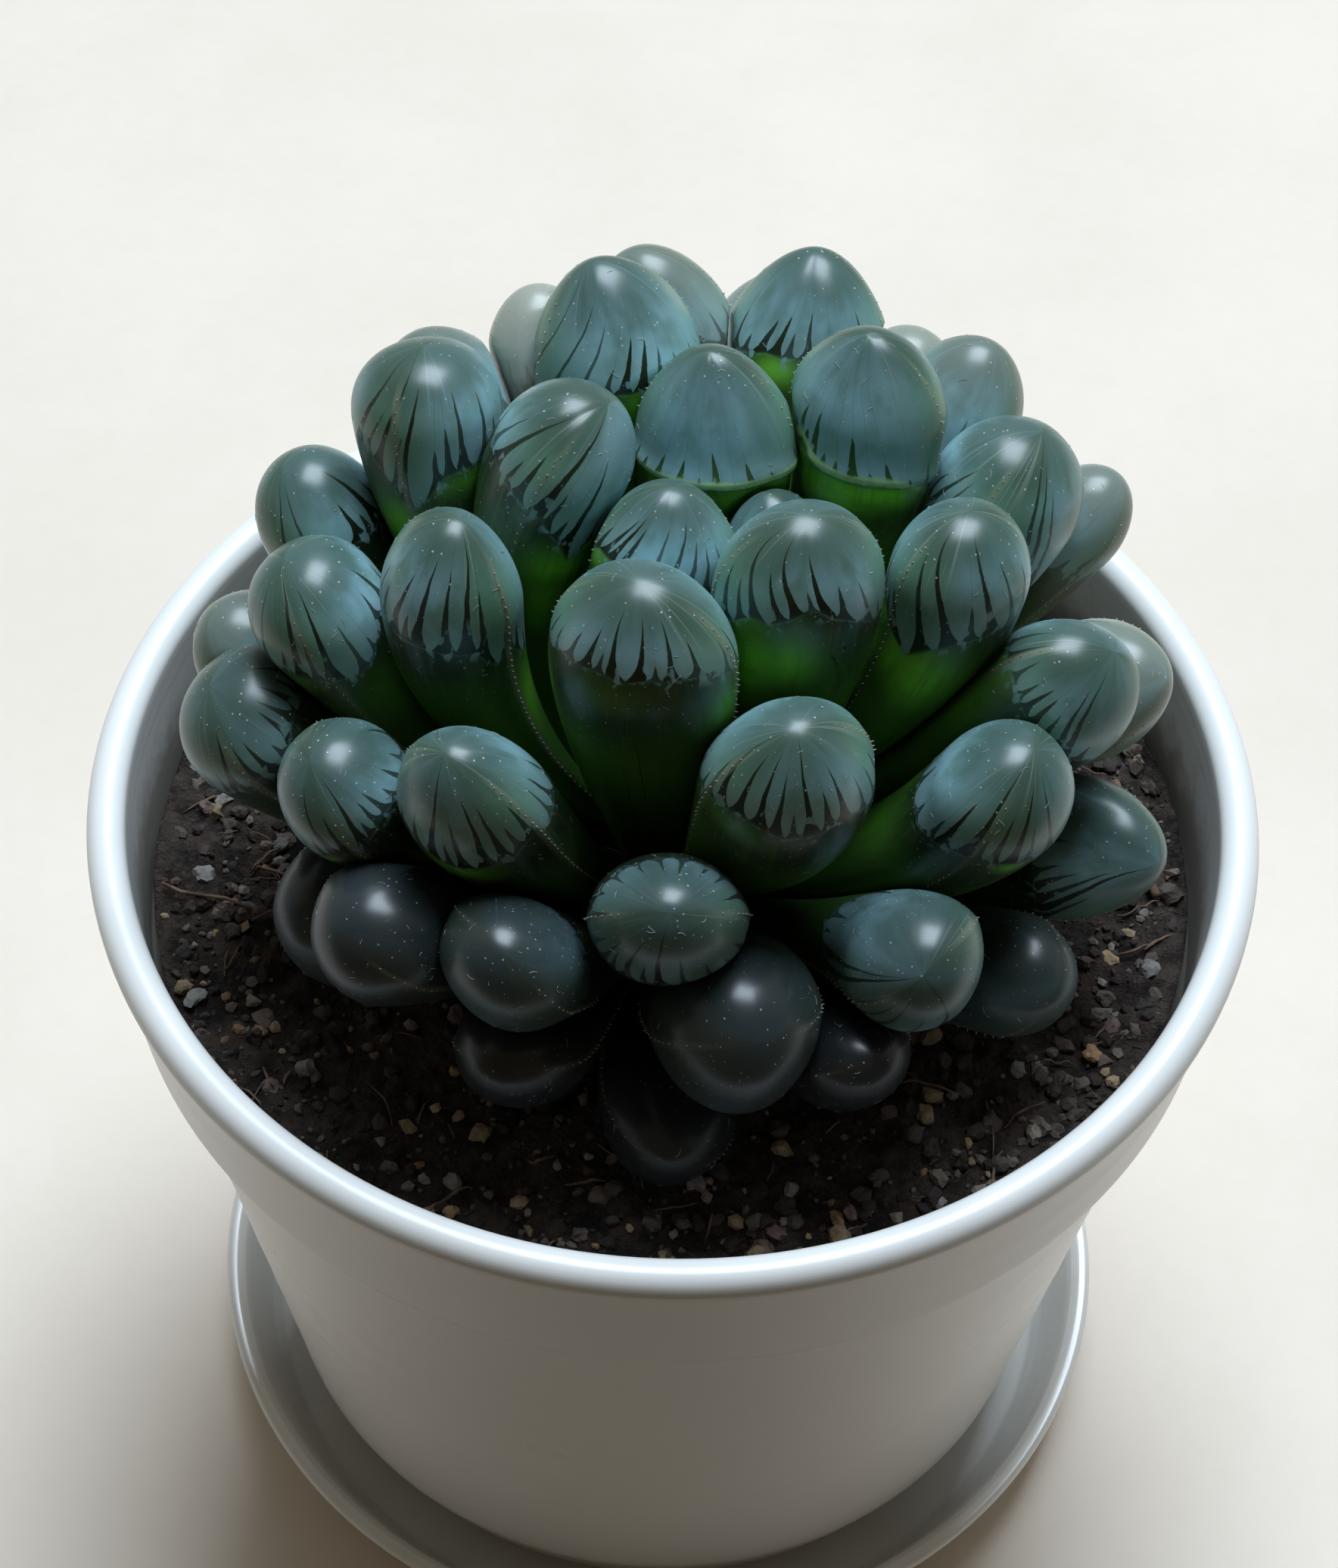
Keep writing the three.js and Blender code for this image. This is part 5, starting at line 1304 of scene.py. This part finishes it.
def tube(points, radii, sides=7):
    """closed tube through points, with rounded ends"""
    P = np.array(points, float)
    n = len(P)
    T = np.gradient(P, axis=0)
    T = unit(T)
    ref = np.array((0.0, 0, 1))
    if abs(T[0] @ ref) > 0.9:
        ref = np.array((1.0, 0, 0))
    V = []
    for i in range(n):
        b = unit(np.cross(T[i], ref))
        c = np.cross(b, T[i])
        for k in range(sides):
            a = 2 * math.pi * k / sides
            V.append(P[i] + radii[i] * (b * math.cos(a) + c * math.sin(a)))
    F = []
    for i in range(n - 1):
        for k in range(sides):
            m = (k + 1) % sides
            F.append((i * sides + k, i * sides + m, (i + 1) * sides + m, (i + 1) * sides + k))
    V.append(P[0] - T[0] * radii[0] * 0.5)
    V.append(P[-1] + T[-1] * radii[-1] * 0.5)
    a, b = len(V) - 2, len(V) - 1
    for k in range(sides):
        m = (k + 1) % sides
        F.append((a, m, k))
        F.append((b, (n - 1) * sides + k, (n - 1) * sides + m))
    V = np.array(V)
    vol = sum(np.dot(V[f[0]], np.cross(V[f[1]], V[f[2]])) + (np.dot(V[f[0]], np.cross(V[f[2]], V[f[3]])) if len(f) == 4 else 0) for f in F)
    if vol < 0:
        F = [f[::-1] for f in F]
    return V, F


def on_soil(x, y):
    return float(soil_height(x, y)) + soil_bumps(x, y) - 0.2


def build_litter(mat_twig):
    """dry twigs, bits of root and fibres lying on the soil"""
    rg = np.random.default_rng(77)
    V, F = [], []
    nv = 0

    def add(pts, rad, sides=6):
        nonlocal nv
        v, f = tube(pts, rad, sides)
        V.append(v)
        F.extend([tuple(i + nv for i in q) for q in f])
        nv += len(v)

    for _ in range(110):
        r = math.sqrt(rg.uniform(20 ** 2, 39.0 ** 2))
        a = rg.uniform(0, 2 * math.pi)
        d = rg.uniform(0, 2 * math.pi)
        L = rg.uniform(1.2, 5.0)
        bend = rg.uniform(-0.5, 0.5)
        w = rg.uniform(0.05, 0.16)
        pts, rad = [], []
        for t in np.linspace(-0.5, 0.5, 7):
            x = r * math.cos(a) + L * t * math.cos(d + bend * t)
            y = r * math.sin(a) + L * t * math.sin(d + bend * t)
            q = math.hypot(x, y)
            if q > 39.9:
                x, y = x * 39.9 / q, y * 39.9 / q
            pts.append((x, y, on_soil(x, y) + 0.25 + w + 0.3 * rg.uniform()))
            rad.append(w * (1 - 0.5 * abs(2 * t) ** 2))
        add(pts, rad, 5)
    # a pinkish stalk on the right and a thin twig on the left
    def laid(points, radius, lift=0.5, sides=8, wob=0.25):
        pts, rad = [], []
        m = len(points)
        for i, (x, y) in enumerate(points):
            pts.append((x, y, on_soil(x, y) + lift + wob * rg.uniform(-0.5, 0.5)))
            rad.append(radius * rg.uniform(0.85, 1.1))
        add(pts, rad, sides)
    laid([(35.2, 9.5), (35.9, 7.3), (36.5, 5.0), (37.1, 2.6), (37.3, 0.2), (37.9, -2.0)], 0.42, 0.75)
    laid([(-39.6, -4.0), (-38.0, -4.9), (-36.3, -5.3), (-34.4, -5.6), (-32.4, -6.4)], 0.16, 0.9)
    ob = new_mesh("soil_litter", np.vstack(V) * MM, F, [mat_twig])
    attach(ob, "root")
    return ob


def build_dust(mat, grids):
    """specks and short curved fibres caught on the leaves"""
    rg = np.random.default_rng(5)
    V, F = [], []
    nv = 0
    octa = np.array([(1, 0, 0), (-1, 0, 0), (0, 1, 0), (0, -1, 0), (0, 0, 1), (0, 0, -1)], float)
    of_ = [(0, 2, 4), (2, 1, 4), (1, 3, 4), (3, 0, 4), (2, 0, 5), (1, 2, 5), (3, 1, 5), (0, 3, 5)]
    for n, (s, th, pos, K) in grids.items():
        ns, na = pos.shape[:2]
        m = 120
        for _ in range(m):
            i = int(np.searchsorted(s, min(0.995, 0.62 + 0.37 * rg.uniform() ** 0.7)))
            i = min(ns - 2, max(1, i))
            j = int(rg.integers(0, na))
            if K[i, j] < 0.97:
                continue
            p = pos[i, j]
            nrm = unit(np.cross(pos[i, (j + 1) % na] - pos[i, j - 1], pos[i + 1, j] - pos[i - 1, j]))
            c = pos[i].mean(0)
            if nrm @ (p - c) < 0:
                nrm = -nrm
            if rg.uniform() < 0.84:
                q = octa * rg.uniform(0.018, 0.042) * np.array([1, rg.uniform(0.5, 1), rg.uniform(0.4, 0.9)])
                V.append(q + p + nrm * 0.012)
                F.extend([tuple(k + nv for k in f) for f in of_])
                nv += 6
            else:
                t1 = unit(np.cross(nrm, rg.normal(size=3)))
                t2 = np.cross(nrm, t1)
                L = rg.uniform(0.18, 0.7)
                bend = rg.uniform(-0.9, 0.9)
                pts = []
                for t in np.linspace(-0.5, 0.5, 5):
                    pts.append(p + t1 * L * t + t2 * bend * L * t * t + nrm * (0.015 + 0.10 * L * (0.25 - t * t)))
                v, f = tube(pts, [0.014] * 5, 3)
                V.append(v)
                F.extend([tuple(k + nv for k in q) for q in f])
                nv += len(v)
    V = np.vstack(V)
    V[:, 2] = np.minimum(V[:, 2], TOP_Z)
    ob = new_mesh("leaf_dust", V * MM, F, [mat], smooth_shade=False)
    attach(ob, "root")
    return ob


# ------------------------------------------------------------------ build
leaf_mat = leaf_material(False)
low_mat = leaf_material(True)
teeth = simple("margin_teeth", (0.30, 0.33, 0.26), 0.45, 0.12, 900.0, 0.4, sss=0.3, sss_scale=0.001, sss_radius=(1, 1, 0.8)).mat
grids = {}
for leaf in ROWS:
    ob, g = build_leaf(leaf, low_mat if SHADE.get(leaf.n, 0) > 0.75 else leaf_mat, teeth)
    grids[leaf.n] = g

build_pot(pot_material())
build_saucer(saucer_material())
peat = soil_material()
build_soil(peat)
low_skins = []
for skin in bpy.data.objects:
    if skin.name.startswith("skin_") and min(v.co[2] for v in skin.data.vertices) < 66.5 * MM:
        low_skins.append(BVHTree.FromPolygons([v.co[:] for v in skin.data.vertices],
                                              [tuple(q.vertices) for q in skin.data.polygons]))
build_grains(grain_material(), low_skins)
twig = simple("dry_twig", (0.15, 0.095, 0.065), 0.85, 0.45, 700.0, 0.3)
build_litter(twig.mat)
dust = simple("dust", (0.50, 0.53, 0.52), 0.9, 0.15, 1200.0, 0.2)
build_dust(dust.mat, grids)

stem_mat = simple("stem_skin", (0.030, 0.050, 0.014), 0.55, 0.35, 420.0, 0.4)
stem = frame["nodes"]["stem"]
ob = stem if hasattr(stem, "material_slots") else bpy.data.objects["stem"]
ob.data.materials.clear()
ob.data.materials.append(stem_mat.mat)

# ------------------------------------------------------------------ stage
floor_N = Nodes("pale_floor")
o = floor_N.obj()
fn = floor_N.noise(o, 18.0, 4.0, 0.6)
fg = floor_N.noise(o, 420.0, 3.0, 0.6)
col = floor_N.mix(floor_N.ramp(fn, 0.3, 0.7), FLOOR_A, FLOOR_B)
col = floor_N.mix(floor_N.ramp(fg, 0.35, 0.75, 0.0, 0.05), col, (0.55, 0.45, 0.36))
# the floor falls off into the shade towards the front
col = floor_N.mix(floor_N.ramp(floor_N.sep(o)[1], -0.125, -0.050), FLOOR_SHADE, col)
floor_N.set(colour=col, rough=0.55, spec=0.3)
fl = new_mesh("floor", [(-3, -3, -0.0002), (3, -3, -0.0002), (3, 5, -0.0002), (-3, 5, -0.0002)], [(0, 1, 2, 3)], [floor_N.mat])

world_look()
SKY = math.radians(67.5)
TURN = math.radians(12)
wdir = (math.cos(SKY) * math.sin(TURN), math.cos(SKY) * math.cos(TURN), math.sin(SKY))
area("window", wdir, 1.0, 0.53, 0.62, 16.0, (0.743, 0.875, 1.0))

scene = bpy.context.scene
scene.view_settings.view_transform = "Standard"
scene.view_settings.look = "None"
scene.view_settings.exposure = 0.0
scene.view_settings.gamma = 1.0

# ------------------------------------------------------------------ camera
F_PX, D_MM, EL, OX, OY, ROLL = 5000.0, 290.4, math.radians(50.65), 7.4, 8.5, math.radians(-1.95)


def spin(v, k, a):
    k = k / np.linalg.norm(k)
    return v * math.cos(a) + np.cross(k, v) * math.sin(a) + k * np.dot(k, v) * (1 - math.cos(a))


C = np.array([0, -D_MM * math.cos(EL), D_MM * math.sin(EL)])
fw = -C / np.linalg.norm(C)
rt = np.array([1.0, 0, 0])
up = np.cross(rt, fw)
psi, tht = math.atan2(OX, F_PX), math.atan2(OY, math.hypot(F_PX, OX))
fw, rt = spin(fw, up, psi), spin(rt, up, psi)
fw, up = spin(fw, rt, tht), spin(up, rt, tht)
rt, up = spin(rt, fw, ROLL), spin(up, fw, ROLL)
C = C + np.array([0, 0, 71.5])
cam_data = bpy.data.cameras.new("camera")
cam_data.sensor_fit = "HORIZONTAL"
cam_data.sensor_width = 36.0
cam_data.lens = F_PX / 1768 * 36
cam_data.clip_start, cam_data.clip_end = 0.01, 20
cam_data.dof.use_dof = False
cam = bpy.data.objects.new("camera", cam_data)
scene.collection.objects.link(cam)
M = Matrix.Identity(4)
for i in range(3):
    M[i][0], M[i][1], M[i][2], M[i][3] = float(rt[i]), float(up[i]), float(-fw[i]), float(C[i]) * MM
cam.matrix_world = M
scene.camera = cam

bpy.context.view_layer.update()
